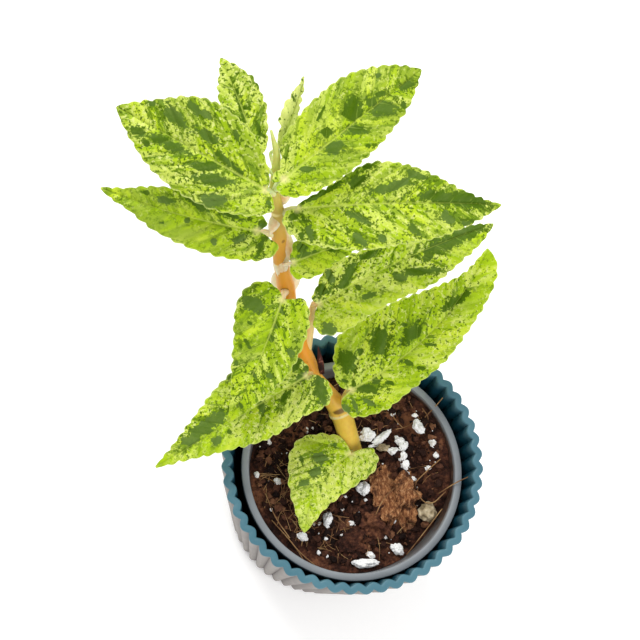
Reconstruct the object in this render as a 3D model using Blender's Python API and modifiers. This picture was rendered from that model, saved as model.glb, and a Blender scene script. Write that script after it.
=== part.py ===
"""Potted pellionia: a leaning stem with variegated toothed leaves, in a nursery pot inside a fluted cachepot.

The origin is the centre of the cachepot's foot, where it stands, and +Z is up.
Lengths are written in millimetres, and MM turns them into Blender's metres.
"""
import math
import random
from collections import namedtuple

import bmesh
import bpy
from mathutils import Vector, noise

MM = 0.001
GAP = 0.3

# Cachepot: a waved wall of even thickness, drawn in towards the foot
CACHEPOT_HEIGHT = 70.0
CACHEPOT_RIM_MID = 37.4
CACHEPOT_FOOT_MID = 28.75
CACHEPOT_WALL = 2.2
CACHEPOT_FLOOR = 2.4
CACHEPOT_FOOT_EDGE = 0.8
FLUTES = 52
FLUTE_RISE = 0.6
STEPS_PER_FLUTE = 4
FLUTE_TURN = -1.6  # degrees, so that no flute starts on the X axis

# Nursery pot: a thin turned cup with a flat rim and drain holes
NURSERY_CENTRE = (0.6, -1.2)
NURSERY_FOOT_Z = CACHEPOT_FLOOR + GAP
NURSERY_HEIGHT = 61.8
NURSERY_RIM_OUTER = 33.35
NURSERY_RIM_INNER = 31.1
NURSERY_RIM_DROP = 2.4
NURSERY_RIM_TAPER = 0.2
NURSERY_FOOT_OUTER = 24.0
NURSERY_WALL = 1.1
NURSERY_STEPS = 56
DRAIN_HOLES = 6
DRAIN_RADIUS = 2.6
DRAIN_RING = 15.0

# Soil: a lumpy top, sunk a little to one side, with bark and perlite set in it
SOIL_TOP_Z = 57.0
SOIL_STEPS = 48
SOIL_RINGS = (0.985, 0.9, 0.78, 0.65, 0.52, 0.39, 0.26, 0.13)
SOIL_LUMP = 1.3
SOIL_LUMP_SIZE = 7.0
SOIL_DIP = (21.7, -18.3, 2.6, 9.0)  # x, y, depth and radius
BARK = ((15.9, -7.8, 6.4), (0.0, -22.2, 4.6), (8.7, -14.3, 4.0), (20.7, 1.7, 3.4))  # x, y and radius
PERLITE = (  # x, y, length and width of the pieces that stand out most
    (5.9, 10.4, 4.2, 3.8), (10.5, 9.9, 7.4, 2.4), (16.5, 9.0, 3.2, 2.2), (14.5, 5.8, 3.4, 2.2),
    (17.0, 3.3, 2.4, 3.0), (22.2, 14.0, 3.4, 2.8), (25.7, 6.4, 1.8, 1.8), (4.9, -6.0, 3.2, 3.6),
    (-6.4, -15.8, 2.4, 2.8), (-13.5, -21.1, 2.6, 2.2), (6.1, -18.4, 1.6, 1.4), (15.1, -23.5, 3.0, 2.2),
    (5.7, -27.8, 5.0, 2.4), (-26.3, -3.7, 1.8, 1.6), (-21.0, -5.2, 2.0, 1.8), (24.7, -11.7, 4.2, 3.0),
)
PERLITE_EXTRA = 18
SEED = 11

# Stem: its line from inside the soil to the tip of the youngest bud, with its radius at each point
STEM_LINE = (
    (7.1, -4.5, 44.0, 2.6), (3.9, 0.9, 51.0, 3.0), (1.6, 5.3, 57.0, 3.2), (-0.9, 10.1, 62.5, 3.2),
    (-3.6, 14.7, 67.4, 3.5), (-7.0, 17.9, 71.0, 2.8), (-10.0, 20.1, 73.5, 2.7), (-14.3, 23.2, 77.5, 2.9),
    (-16.1, 26.6, 80.5, 2.7), (-19.3, 30.7, 86.0, 2.5), (-22.7, 36.3, 94.0, 2.4), (-24.6, 41.4, 99.5, 2.4),
    (-27.0, 46.3, 106.5, 2.1), (-28.5, 51.1, 114.0, 2.0), (-29.6, 55.2, 120.0, 1.7), (-31.2, 58.6, 125.2, 1.5),
    (-31.5, 61.9, 129.5, 1.3), (-31.8, 65.7, 133.6, 1.0), (-33.0, 67.6, 137.1, 0.6), (-34.0, 69.0, 139.8, 0.35),
)
STEM_PARTS_PER_SPAN = 2
PETIOLE_END_RADIUS = 0.95
PETIOLE_DROP = 1.6  # how far below the blade the stalk turns up to meet it

# Papery sheaths on the stem: root, tip, half width
SHEATHS = (
    ((-29.2, 50.6, 116.6), (-27.6, 46.3, 111.2), 2.2),
    ((-27.9, 51.7, 112.0), (-24.9, 48.1, 108.5), 1.8),
    ((-26.5, 43.3, 105.0), (-25.7, 37.1, 98.8), 2.2),
    ((-29.9, 57.5, 121.5), (-26.2, 59.3, 124.5), 1.4),
)
DRY_STIPULE = ((-11.3, 22.5, 80.4), (-13.4, 29.0, 86.2), 0.8)

# Leaves
LEAF_THICKNESS = 0.7
TOOTH_PITCH = 3.2
TOOTH_DEPTH = 0.65
STALK_HALF = 0.9  # half the width of the blade where its stalk meets it
TIP_HALF = 0.3
START_TURN = 12  # degrees that an edge starts behind its first point, so that it opens like a fan
VEIN_SWEEP = 0.7  # 0: side veins square to the midrib, 1: swept well forward
SWEEP_LOSS = 0.3  # less sweep for each side that has no lobe behind the stalk
EDGE_WAVE = 0.35

Leaf = namedtuple("Leaf", "name base tip facing bow arch fold right left stalk")
# base and tip: where the blade starts and ends. facing: roughly the way its upper face looks.
# bow: how far the midrib bends sideways. arch: how far it rises in the middle. fold: how steeply the halves rise.
# right and left: the outline on each side of the line from base to tip, as (along it, away from it).
# stalk: the point of the stem that the petiole grows from, and its radius there.
LEAVES = (
    Leaf(
        "leaf_soil", (0.1, 3.1, 64.0), (-13.8, -20.8, 64.5), (-0.2, -0.3, 1), -3.4, 1.5, 0.10,
        ((-1.5, 2.5), (-2.6, 5.8), (-0.5, 10.2), (4.0, 15.0), (10.0, 15.6), (16.5, 12.4), (21.0, 8.6), (26.0, 3.0)),
        ((-3.0, 2.2), (-4.8, 4.8), (-2.8, 7.6), (1.5, 8.4), (9.0, 5.4), (18.0, 1.9), (24.0, 0.9)),
        (0.5, 7.5, 59.5, 1.2),
    ),
    Leaf(
        "leaf_low_left", (-16.5, 20.2, 85.5), (-57.8, -6.3, 78.0), (-0.2, -0.3, 1), 0.0, 2.5, 0.12,
        ((-1.6, 2.2), (-1.0, 4.8), (1.6, 7.6), (8.0, 10.6), (16.0, 11.8), (24.0, 10.2), (33.0, 6.6), (42.0, 2.9)),
        (
            (-3.2, 2.0), (-4.2, 5.2), (-3.2, 8.5), (0.6, 10.2), (6.0, 9.4), (12.0, 9.6), (20.0, 9.4), (32.0, 5.9),
            (42.0, 2.6),
        ),
        (-14.5, 23.3, 77.8, 1.6),
    ),
    Leaf(
        "leaf_front", (-26.3, 35.7, 105.5), (-38.8, 4.8, 89.0), (-0.1, -0.55, 1), 0.8, 2.0, 0.12,
        ((-1.8, 2.0), (-2.8, 5.6), (-0.8, 9.2), (3.6, 11.0), (9.4, 10.2), (15.0, 7.9), (22.0, 5.5), (30.0, 2.2)),
        ((-1.0, 2.6), (-2.4, 4.8), (-0.6, 7.6), (4.0, 9.6), (10.0, 10.2), (18.0, 9.6), (24.6, 7.1), (31.0, 4.1)),
        (-24.5, 41.1, 99.2, 1.4),
    ),
    Leaf(
        "leaf_low_right", (-2.6, 18.6, 79.0), (35.2, 58.7, 96.0), (-0.1, -0.4, 1), -4.8, 2.0, 0.12,
        (
            (-4.2, 0.3), (-5.6, 2.3), (-5.4, 5.2), (-3.2, 7.9), (3.0, 11.2), (10.0, 12.2), (18.0, 13.0), (26.0, 13.6),
            (34.0, 12.6), (44.0, 10.8), (52.0, 8.1), (56.6, 4.6),
        ),
        ((-1.4, 3.6), (0.6, 7.6), (5.4, 12.0), (10.0, 13.9), (17.0, 12.4), (25.5, 9.8), (34.0, 5.8), (46.0, 0.6)),
        (-3.4, 15.0, 67.4, 1.7),
    ),
    Leaf(
        "leaf_mid_right", (-15.0, 37.7, 98.0), (34.1, 62.2, 106.0), (-0.1, -0.5, 1), 1.8, 2.0, 0.10,
        (
            (-2.2, 2.2), (-3.8, 5.2), (-2.2, 8.6), (3.6, 9.8), (11.0, 8.8), (19.0, 7.9), (27.0, 8.0), (34.0, 7.7),
            (42.0, 5.6), (50.0, 3.1),
        ),
        ((-1.2, 2.6), (1.2, 4.6), (4.6, 7.6), (10.0, 9.2), (18.0, 8.8), (28.0, 7.0), (38.0, 4.2), (48.0, 2.8)),
        (-16.5, 27.1, 81.0, 1.7),
    ),
    Leaf(
        "leaf_long_right", (-25.1, 54.3, 125.0), (31.7, 61.0, 122.0), (0.0, -0.35, 1), 0.8, 3.0, 0.12,
        (
            (-3.0, 0.9), (-4.1, 2.8), (-3.4, 5.2), (-1.2, 7.4), (2.6, 9.4), (9.0, 10.8), (17.6, 11.4), (26.0, 10.4),
            (37.0, 8.8), (45.0, 6.2), (51.5, 3.3),
        ),
        ((1.2, 1.7), (7.8, 5.2), (14.0, 9.2), (21.0, 11.8), (31.0, 10.6), (40.0, 6.8), (46.0, 3.8), (52.0, 1.5)),
        (-29.4, 54.9, 119.6, 1.1),
    ),
    Leaf(
        "leaf_hidden_right", (-24.3, 44.1, 112.0), (-3.3, 53.7, 111.0), (0.1, -0.4, 1), 0.4, 1.0, 0.10,
        ((-1.4, 1.2), (-1.2, 3.6), (2.2, 5.3), (6.0, 5.2), (10.5, 3.9), (18.0, 2.2)),
        ((-0.5, 1.5), (0.9, 3.5), (3.6, 6.0), (10.0, 5.8), (16.0, 3.6), (20.0, 1.8)),
        (-26.9, 46.1, 106.2, 0.9),
    ),
    Leaf(
        "leaf_mid_left", (-35.0, 49.8, 119.0), (-76.6, 58.6, 120.0), (-0.1, -0.45, 1), 1.2, 2.5, 0.10,
        ((-1.4, 1.4), (-2.0, 3.0), (1.6, 4.6), (8.0, 6.2), (15.0, 6.6), (22.0, 5.6), (29.5, 4.0), (36.5, 1.6)),
        (
            (-3.6, 1.2), (-6.2, 2.4), (-6.4, 4.6), (-2.6, 7.4), (4.0, 8.9), (12.0, 9.2), (18.0, 8.7), (26.7, 6.8),
            (33.0, 4.0), (39.5, 1.7),
        ),
        (-28.5, 51.3, 114.2, 1.2),
    ),
    Leaf(
        "leaf_top_left", (-34.0, 56.6, 130.5), (-73.4, 74.3, 136.0), (-0.1, -0.45, 1), 0.0, 2.0, 0.12,
        (
            (0.4, 2.4), (2.4, 5.2), (8.0, 9.8), (14.0, 12.2), (21.0, 13.2), (26.0, 12.4), (30.0, 10.4), (36.5, 5.8),
            (41.0, 2.5),
        ),
        (
            (-2.6, 1.4), (-4.2, 3.4), (-1.6, 6.8), (4.0, 9.4), (10.0, 11.2), (17.0, 11.6), (23.0, 11.0), (29.0, 9.4),
            (34.0, 7.0), (40.0, 3.2),
        ),
        (-31.1, 58.3, 125.2, 1.1),
    ),
    Leaf(
        "leaf_top_right", (-29.6, 58.9, 133.0), (6.4, 92.2, 137.0), (0.0, -0.3, 1), 0.0, 2.0, 0.12,
        (
            (-3.4, 0.9), (-3.3, 2.7), (-0.9, 5.5), (4.5, 7.8), (13.0, 9.2), (21.0, 9.1), (28.5, 8.2), (38.0, 6.0),
            (44.5, 2.9),
        ),
        (
            (-3.0, 1.3), (-1.8, 2.5), (0.9, 2.8), (3.3, 5.2), (4.8, 7.2), (7.2, 8.8), (12.5, 10.2), (20.0, 11.2),
            (28.5, 11.2), (37.0, 8.8), (44.5, 4.4),
        ),
        (-31.3, 58.9, 126.2, 1.1),
    ),
    Leaf(
        "leaf_young_left", (-36.3, 65.2, 133.0), (-47.3, 91.1, 136.0), (0.1, -0.4, 1), 0.0, 1.5, 0.15,
        ((0.4, 1.6), (2.2, 3.0), (5.4, 4.2), (10.5, 5.9), (14.5, 6.2), (18.6, 5.9), (21.5, 4.9), (25.5, 2.2)),
        ((3.0, 1.3), (7.0, 2.6), (11.0, 4.2), (15.0, 5.0), (19.0, 4.4), (23.0, 2.6), (26.0, 1.1)),
        (-31.5, 61.3, 130.0, 0.7),
    ),
    Leaf(
        "leaf_folded", (-31.2, 68.0, 131.4), (-25.1, 87.3, 136.4), (0.6, -0.3, 0.8), 0.0, 0.8, 0.22,
        ((2.0, 1.4), (6.0, 2.0), (10.0, 1.6), (13.5, 1.0), (17.0, 0.7)),
        ((2.0, 1.4), (4.6, 2.3), (7.2, 3.7), (9.8, 4.0), (12.8, 3.3), (16.0, 2.2), (18.5, 1.2)),
        (-31.5, 61.5, 130.4, 0.6),
    ),
)


def clear_scene():
    for item in list(bpy.data.objects):
        bpy.data.objects.remove(item)


def collection(name):
    made = bpy.data.collections.new(name)
    bpy.context.scene.collection.children.link(made)
    return made


def material(name, colour, roughness):
    made = bpy.data.materials.new(name)
    made.use_nodes = True
    shader = made.node_tree.nodes["Principled BSDF"]
    shader.inputs["Base Color"].default_value = (*colour, 1.0)
    shader.inputs["Roughness"].default_value = roughness
    made.diffuse_color = (*colour, 1.0)
    return made


def add_object(name, data, group, finish=None):
    made = bpy.data.objects.new(name, data)
    group.objects.link(made)
    if finish:
        data.materials.append(finish)
    return made


def mesh_from_bmesh(name, shape):
    data = bpy.data.meshes.new(name)
    shape.to_mesh(data)
    shape.free()
    return data


def smooth(item, sharp_degrees=50):
    item.data.shade_smooth()
    item.data.set_sharp_from_angle(angle=math.radians(sharp_degrees))


def apply_modifiers(item):
    """Puts the evaluated mesh in the object and drops its modifiers."""
    bpy.context.view_layer.update()
    graph = bpy.context.evaluated_depsgraph_get()
    data = bpy.data.meshes.new_from_object(item.evaluated_get(graph))
    item.modifiers.clear()
    item.data = data


def unite(target, extras):
    """One union of the target with every object of a collection, which is then removed."""
    union = target.modifiers.new("union", "BOOLEAN")
    union.operation = "UNION"
    union.operand_type = "COLLECTION"
    union.collection = extras
    union.solver = "EXACT"
    apply_modifiers(target)
    for item in list(extras.objects):
        bpy.data.objects.remove(item)
    bpy.data.collections.remove(extras)


def clear_slivers(item):
    """Joins points that all but touch, which a cut can leave behind."""
    shape = bmesh.new()
    shape.from_mesh(item.data)
    bmesh.ops.remove_doubles(shape, verts=shape.verts, dist=0.004 * MM)
    bmesh.ops.dissolve_degenerate(shape, edges=shape.edges, dist=0.004 * MM)
    shape.to_mesh(item.data)
    shape.free()


def lofted_solid(name, rings):
    """A closed solid through rings of points, each with the same number, from the underside up and over."""
    shape = bmesh.new()
    loops = [[shape.verts.new(Vector(point) * MM) for point in ring] for ring in rings]
    count = len(loops[0])
    for lower, upper in zip(loops, loops[1:]):
        for i in range(count):
            j = (i + 1) % count
            shape.faces.new((lower[i], lower[j], upper[j], upper[i]))
    shape.faces.new(reversed(loops[0]))
    shape.faces.new(loops[-1])
    return mesh_from_bmesh(name, shape)


def flute_radius(mid, angle, outside):
    """The waved wall: round lobes and sharp notches outside, and the same a wall's thickness further in."""
    phase = FLUTES * angle / 2
    if outside:
        return mid + CACHEPOT_WALL / 2 + FLUTE_RISE * (2 * abs(math.cos(phase)) - 1)
    return mid - CACHEPOT_WALL / 2 + FLUTE_RISE * (1 - 2 * abs(math.sin(phase)))


def wall_mid(z):
    return CACHEPOT_FOOT_MID + (CACHEPOT_RIM_MID - CACHEPOT_FOOT_MID) * z / CACHEPOT_HEIGHT


def fluted_ring(z, mid, outside):
    count = FLUTES * STEPS_PER_FLUTE
    ring = []
    for i in range(count):
        angle = 2 * math.pi * i / count
        radius = flute_radius(mid, angle, outside)
        angle += math.radians(FLUTE_TURN)
        ring.append((radius * math.cos(angle), radius * math.sin(angle), z))
    return ring


def make_cachepot(group):
    rings = [
        fluted_ring(0, wall_mid(0) - CACHEPOT_FOOT_EDGE, True),
        fluted_ring(CACHEPOT_FOOT_EDGE, wall_mid(CACHEPOT_FOOT_EDGE), True),
        fluted_ring(CACHEPOT_HEIGHT, CACHEPOT_RIM_MID, True),
        fluted_ring(CACHEPOT_HEIGHT, CACHEPOT_RIM_MID, False),
        fluted_ring(CACHEPOT_FLOOR, wall_mid(CACHEPOT_FLOOR), False),
    ]
    finish = material("teal_plastic", (0.13, 0.31, 0.42), 0.45)
    pot = add_object("cachepot", lofted_solid("cachepot", rings), group, finish)
    smooth(pot, 35)


def nursery_inner_radius(z):
    """The inside of the nursery pot at a height above the cachepot's foot."""
    rise = (z - NURSERY_FOOT_Z - NURSERY_WALL) / (NURSERY_HEIGHT - NURSERY_WALL)
    foot = NURSERY_FOOT_OUTER - NURSERY_WALL
    return foot + (NURSERY_RIM_INNER - foot) * rise


def make_nursery_pot(group, cutters):
    rim_z = NURSERY_HEIGHT
    wall_top = nursery_inner_radius(NURSERY_FOOT_Z + rim_z - NURSERY_RIM_DROP) + NURSERY_WALL
    outline = (
        (0, NURSERY_WALL), (NURSERY_FOOT_OUTER - NURSERY_WALL, NURSERY_WALL), (NURSERY_RIM_INNER, rim_z),
        (NURSERY_RIM_OUTER, rim_z), (NURSERY_RIM_OUTER - NURSERY_RIM_TAPER, rim_z - NURSERY_RIM_DROP),
        (wall_top, rim_z - NURSERY_RIM_DROP), (NURSERY_FOOT_OUTER, 0), (0, 0),
    )
    shape = bmesh.new()
    points = [shape.verts.new((radius * MM, 0, height * MM)) for radius, height in outline]
    for start, end in zip(points, points[1:]):
        shape.edges.new((start, end))
    finish = material("grey_plastic", (0.27, 0.29, 0.3), 0.5)
    pot = add_object("nursery_pot", mesh_from_bmesh("nursery_pot", shape), group, finish)
    pot.location = (NURSERY_CENTRE[0] * MM, NURSERY_CENTRE[1] * MM, NURSERY_FOOT_Z * MM)
    screw = pot.modifiers.new("turned", "SCREW")
    screw.axis = "Z"
    screw.steps = NURSERY_STEPS
    screw.render_steps = NURSERY_STEPS
    screw.use_merge_vertices = True
    screw.merge_threshold = 0.00005
    drill = drain_cutter(cutters, pot.location)
    cut = pot.modifiers.new("drain", "BOOLEAN")
    cut.operation = "DIFFERENCE"
    cut.solver = "EXACT"
    cut.object = drill


def drain_cutter(cutters, centre):
    """One cutter with a short rod for each drain hole."""
    shape = bmesh.new()
    for i in range(DRAIN_HOLES):
        angle = 2 * math.pi * i / DRAIN_HOLES
        rod = bmesh.ops.create_cone(
            shape, cap_ends=True, segments=12, radius1=DRAIN_RADIUS * MM, radius2=DRAIN_RADIUS * MM, depth=8 * MM
        )
        place = Vector((math.cos(angle), math.sin(angle), 0)) * DRAIN_RING * MM
        bmesh.ops.translate(shape, verts=rod["verts"], vec=place)
    drill = add_object("drain_drill", mesh_from_bmesh("drain_drill", shape), cutters)
    drill.location = centre
    drill.display_type = "WIRE"
    drill.hide_render = True
    return drill


def soil_height(x, y):
    """The lumpy top of the soil, with one sunken side."""
    coarse = noise.noise(Vector((x, y, 0)) / SOIL_LUMP_SIZE)
    fine = noise.noise(Vector((y, x, 5)) / (SOIL_LUMP_SIZE / 2))
    dip_x, dip_y, depth, reach = SOIL_DIP
    dip = depth * math.exp(-((x - dip_x) ** 2 + (y - dip_y) ** 2) / (2 * reach**2))
    return SOIL_TOP_Z + SOIL_LUMP * (coarse + 0.5 * fine) - dip


def soil_rings():
    foot_z = NURSERY_FOOT_Z + NURSERY_WALL + GAP
    rings = [round_ring(foot_z, nursery_inner_radius(foot_z) - GAP)]
    reach = nursery_inner_radius(SOIL_TOP_Z - 2.5) - GAP
    rings.append(round_ring(SOIL_TOP_Z - 4.5, nursery_inner_radius(SOIL_TOP_Z - 4.5) - GAP))
    for share in SOIL_RINGS:
        ring = round_ring(0, reach * share)
        rings.append([(x, y, soil_height(x, y)) for x, y, z in ring])
    return rings


def round_ring(z, radius):
    ring = []
    for i in range(SOIL_STEPS):
        angle = 2 * math.pi * i / SOIL_STEPS
        x = NURSERY_CENTRE[0] + radius * math.cos(angle)
        y = NURSERY_CENTRE[1] + radius * math.sin(angle)
        ring.append((x, y, z))
    return ring


def add_bit(group, place, size, turn, rough, detail):
    """A rough lump: an icosphere pushed in and out by noise, stretched, turned and set in place."""
    shape = bmesh.new()
    bmesh.ops.create_icosphere(shape, subdivisions=detail, radius=0.5)
    for vert in shape.verts:
        vert.co *= 1 + rough * noise.noise(vert.co * 3 + Vector(place))
        flat = Vector((vert.co.x * size[0], vert.co.y * size[1], vert.co.z * size[2]))
        x = flat.x * math.cos(turn) - flat.y * math.sin(turn)
        y = flat.x * math.sin(turn) + flat.y * math.cos(turn)
        vert.co = (Vector((x, y, flat.z)) + Vector(place)) * MM
    add_object("bit", mesh_from_bmesh("bit", shape), group)


def inside_pot(x, y, margin):
    reach = nursery_inner_radius(SOIL_TOP_Z) - margin
    return math.hypot(x - NURSERY_CENTRE[0], y - NURSERY_CENTRE[1]) < reach


def near_stem(x, y):
    foot = STEM_LINE[2]
    return math.hypot(x - foot[0], y - foot[1]) < foot[3] + 3


def add_soil_bits(group):
    draw = random.Random(SEED)
    for x, y, radius in BARK:
        size = (radius * 2, radius * 1.6, radius * 0.8)
        add_bit(group, (x, y, soil_height(x, y)), size, draw.uniform(0, 3), 0.6, 2)
    for x, y, length, width in PERLITE:
        turn = 0.75 if length > 1.5 * width else draw.uniform(0, 3)
        place = (x, y, soil_height(x, y))
        add_bit(group, place, (length, width, width * 1.2), turn, 0.3, 1)
    placed = 0
    while placed < PERLITE_EXTRA:
        x = draw.uniform(-30, 30)
        y = draw.uniform(-30, 30)
        width = draw.uniform(1.2, 2.2)
        if inside_pot(x, y, 3) and not near_stem(x, y):
            place = (x, y, soil_height(x, y) - 0.2)
            add_bit(group, place, (width * 1.3, width, width * 1.6), draw.uniform(0, 3), 0.3, 1)
            placed += 1


def make_soil(group, cutters):
    finish = material("peat", (0.05, 0.025, 0.018), 0.95)
    soil = add_object("soil", lofted_solid("soil", soil_rings()), group, finish)
    bits = collection("soil_bits")
    add_soil_bits(bits)
    unite(soil, bits)
    hole = stem_hole(cutters)
    cut = soil.modifiers.new("hole", "BOOLEAN")
    cut.operation = "DIFFERENCE"
    cut.solver = "EXACT"
    cut.object = hole
    apply_modifiers(soil)
    clear_slivers(soil)
    soil.data.materials.clear()
    soil.data.materials.append(finish)


def stem_hole(cutters):
    """A plain round hole along the buried end of the stem."""
    foot = Vector(STEM_LINE[0][:3])
    mouth = Vector(STEM_LINE[3][:3])
    along = (mouth - foot).normalized()
    start = foot - along * 1.0
    length = (mouth - start).length
    shape = bmesh.new()
    radius = (STEM_LINE[2][3] + GAP + 0.4) * MM
    bmesh.ops.create_cone(shape, cap_ends=True, segments=20, radius1=radius, radius2=radius, depth=length * MM)
    hole = add_object("stem_hole", mesh_from_bmesh("stem_hole", shape), cutters)
    hole.location = (start + along * length / 2) * MM
    hole.rotation_mode = "QUATERNION"
    hole.rotation_quaternion = along.to_track_quat("Z", "Y")
    hole.display_type = "WIRE"
    hole.hide_render = True
    return hole


def spline_through(points, parts):
    """Points along a smooth line through the given ones (Catmull-Rom), of any number of coordinates."""
    line = []
    for i in range(len(points) - 1):
        before = points[max(i - 1, 0)]
        start = points[i]
        end = points[i + 1]
        after = points[min(i + 2, len(points) - 1)]
        for step in range(parts):
            t = step / parts
            line.append([
                0.5 * (2 * b + (c - a) * t + (2 * a - 5 * b + 4 * c - d) * t**2 + (3 * b - a - 3 * c + d) * t**3)
                for a, b, c, d in zip(before, start, end, after)
            ])
    line.append(list(points[-1]))
    return line


def tube(name, line, group, sides_level):
    """A closed tube along points of x, y, z and radius, made a mesh with its caps joined on."""
    data = bpy.data.curves.new(name, "CURVE")
    data.dimensions = "3D"
    data.bevel_depth = MM
    data.bevel_resolution = sides_level
    data.use_fill_caps = True
    spline = data.splines.new("POLY")
    spline.points.add(len(line) - 1)
    for point, (x, y, z, radius) in zip(spline.points, line):
        point.co = (x * MM, y * MM, z * MM, 1)
        point.radius = radius
    guide = add_object(name + "_line", data, group)
    bpy.context.view_layer.update()
    graph = bpy.context.evaluated_depsgraph_get()
    shape = bmesh.new()
    shape.from_mesh(bpy.data.meshes.new_from_object(guide.evaluated_get(graph)))
    bmesh.ops.remove_doubles(shape, verts=shape.verts, dist=0.01 * MM)
    bpy.data.objects.remove(guide)
    return add_object(name, mesh_from_bmesh(name, shape), group)


def leaf_axes(leaf):
    """The blade's own directions: along it, to its left, and out of its upper face, with its length."""
    base = Vector(leaf.base)
    along = Vector(leaf.tip) - base
    length = along.length
    along.normalize()
    up = Vector(leaf.facing)
    up = (up - along * up.dot(along)).normalized()
    return base, along, up.cross(along), up, length


def petiole_line(leaf):
    """From inside the stem, under the blade, then up to just below where the blade starts."""
    base, along, left, up, length = leaf_axes(leaf)
    radius = min(PETIOLE_END_RADIUS, length / 45)
    root = Vector(leaf.stalk[:3])
    end = base - up * (LEAF_THICKNESS / 2 + GAP + 0.1) + along * 0.6
    knee = end - up * min(PETIOLE_DROP, length / 20)
    middle = root.lerp(knee, 0.55) - Vector((0, 0, 0.4))
    between = (leaf.stalk[3] + radius) / 2
    line = spline_through([(*root, leaf.stalk[3]), (*middle, between), (*knee, radius)], 3)
    return [*line, (*end, radius)]


def blade_sheet(name, rows, thickness, group):
    """A thin blade: rows of points, split into triangles alike on both faces and given a thickness."""
    shape = bmesh.new()
    grid = [[shape.verts.new(Vector(point) * MM) for point in row] for row in rows]
    middle = len(grid[0]) // 2
    for lower, upper in zip(grid, grid[1:]):
        for i in range(len(lower) - 1):
            if i < middle:
                shape.faces.new((lower[i], lower[i + 1], upper[i]))
                shape.faces.new((lower[i + 1], upper[i + 1], upper[i]))
            else:
                shape.faces.new((lower[i], lower[i + 1], upper[i + 1]))
                shape.faces.new((lower[i], upper[i + 1], upper[i]))
    blade = add_object(name, mesh_from_bmesh(name, shape), group)
    wall = blade.modifiers.new("thickness", "SOLIDIFY")
    wall.thickness = thickness * MM
    wall.offset = 0
    return blade


def sheath_rows(root, tip, half):
    """A papery sheath: pointed at its tip and curled a little about its length."""
    start = Vector(root)
    end = Vector(tip)
    along = (end - start).normalized()
    out = Vector((-0.15, -0.45, 0.9))
    out = (out - along * out.dot(along)).normalized()
    side = out.cross(along)
    rows = []
    for share, width in ((0, 1.0), (0.35, 1.0), (0.7, 0.7), (1.0, 0.12)):
        centre = start.lerp(end, share) + out * 1.2 * math.sin(math.pi * share)
        row = []
        for across in (-1, -0.5, 0, 0.5, 1):
            row.append(centre - side * across * half * width - out * 0.45 * half * (across * width) ** 2)
        rows.append(row)
    return rows


def make_stem(group):
    finish = material("stem_flesh", (0.7, 0.36, 0.06), 0.4)
    stem = tube("stem", spline_through(STEM_LINE, STEM_PARTS_PER_SPAN), group, 3)
    shoots = collection("shoots")
    for leaf in LEAVES:
        tube("petiole_" + leaf.name, petiole_line(leaf), shoots, 2)
    for i, (root, tip, half) in enumerate(SHEATHS):
        blade_sheet("sheath_%d" % i, sheath_rows(root, tip, half), 0.6, shoots)
    unite(stem, shoots)
    clear_slivers(stem)
    stem.data.materials.clear()
    stem.data.materials.append(finish)
    smooth(stem)


def even_points(line, count):
    """The line cut into equal steps by length."""
    lengths = [0.0]
    for start, end in zip(line, line[1:]):
        lengths.append(lengths[-1] + math.dist(start, end))
    points = []
    place = 0
    for i in range(count + 1):
        goal = lengths[-1] * i / count
        while place < len(line) - 2 and lengths[place + 1] < goal:
            place += 1
        t = (goal - lengths[place]) / (lengths[place + 1] - lengths[place])
        start = line[place]
        end = line[place + 1]
        points.append((start[0] + (end[0] - start[0]) * t, start[1] + (end[1] - start[1]) * t))
    return points


def toothed_side(outline, length, sign, rows):
    """One edge of a blade from its stalk to its tip, with a tooth at every other row."""
    angle = math.atan2(outline[0][1], outline[0][0]) + math.radians(START_TURN)
    half = min(STALK_HALF, length / 50)
    start = (half * math.cos(angle), half * math.sin(angle))
    smooth_line = spline_through([start, *outline, (length, TIP_HALF)], 6)
    points = even_points(smooth_line, rows)
    edge = []
    for i, (along, out) in enumerate(points):
        before = points[max(i - 1, 0)]
        after = points[min(i + 1, rows)]
        run = Vector((after[0] - before[0], after[1] - before[1])).normalized()
        fade = min(1, i / 4, (rows - i) / 3)
        push = TOOTH_DEPTH * fade * (0.5 if i % 2 else -0.5)
        edge.append((along - run.y * push, sign * (out + run.x * push)))
    return edge


def vein_sweep(leaf):
    return VEIN_SWEEP - SWEEP_LOSS * sum(side[0][0] > 0 for side in (leaf.right, leaf.left))


def leaf_rows(leaf):
    """The blade's rows of points: right edge, middle of the right half, midrib, and so on to the left edge."""
    base, along, left, up, length = leaf_axes(leaf)
    rows = 2 * max(8, round(length * 1.15 / TOOTH_PITCH))
    sweep = vein_sweep(leaf)
    right_edge = toothed_side(leaf.right, length, -1, rows)
    left_edge = toothed_side(leaf.left, length, 1, rows)
    grid = []
    for i in range(rows + 1):
        share = i / rows
        rib_along = length * (share * (1 - sweep) + share**2 * sweep)
        rib = (rib_along, midrib_offset(leaf, rib_along / length))
        row = []
        for edge, across in ((right_edge, 1), (right_edge, 0.5), (None, 0), (left_edge, 0.5), (left_edge, 1)):
            if across:
                a = rib[0] + (edge[i][0] - rib[0]) * across
                b = rib[1] + (edge[i][1] - rib[1]) * across
            else:
                a, b = rib
            row.append(base + along * a + left * b + up * blade_height(leaf, length, a, b, across, share))
        grid.append(row)
    return grid


def midrib_offset(leaf, share):
    share = min(max(share, 0), 1)
    return leaf.bow * 4 * share * (1 - share)


def blade_height(leaf, length, along, out, across, share):
    """Height above the flat: the midrib's arch, the rise of the halves from it, and the waved edge."""
    t = min(max(along / length, 0), 1)
    rise = leaf.arch * 4 * t * (1 - t)
    aside = abs(out - midrib_offset(leaf, t))
    wave = EDGE_WAVE * across**2 * math.sin(share * 31) * min(1, 4 * share)
    return rise + leaf.fold * aside * (1.2 - 0.9 * across) + wave


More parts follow.
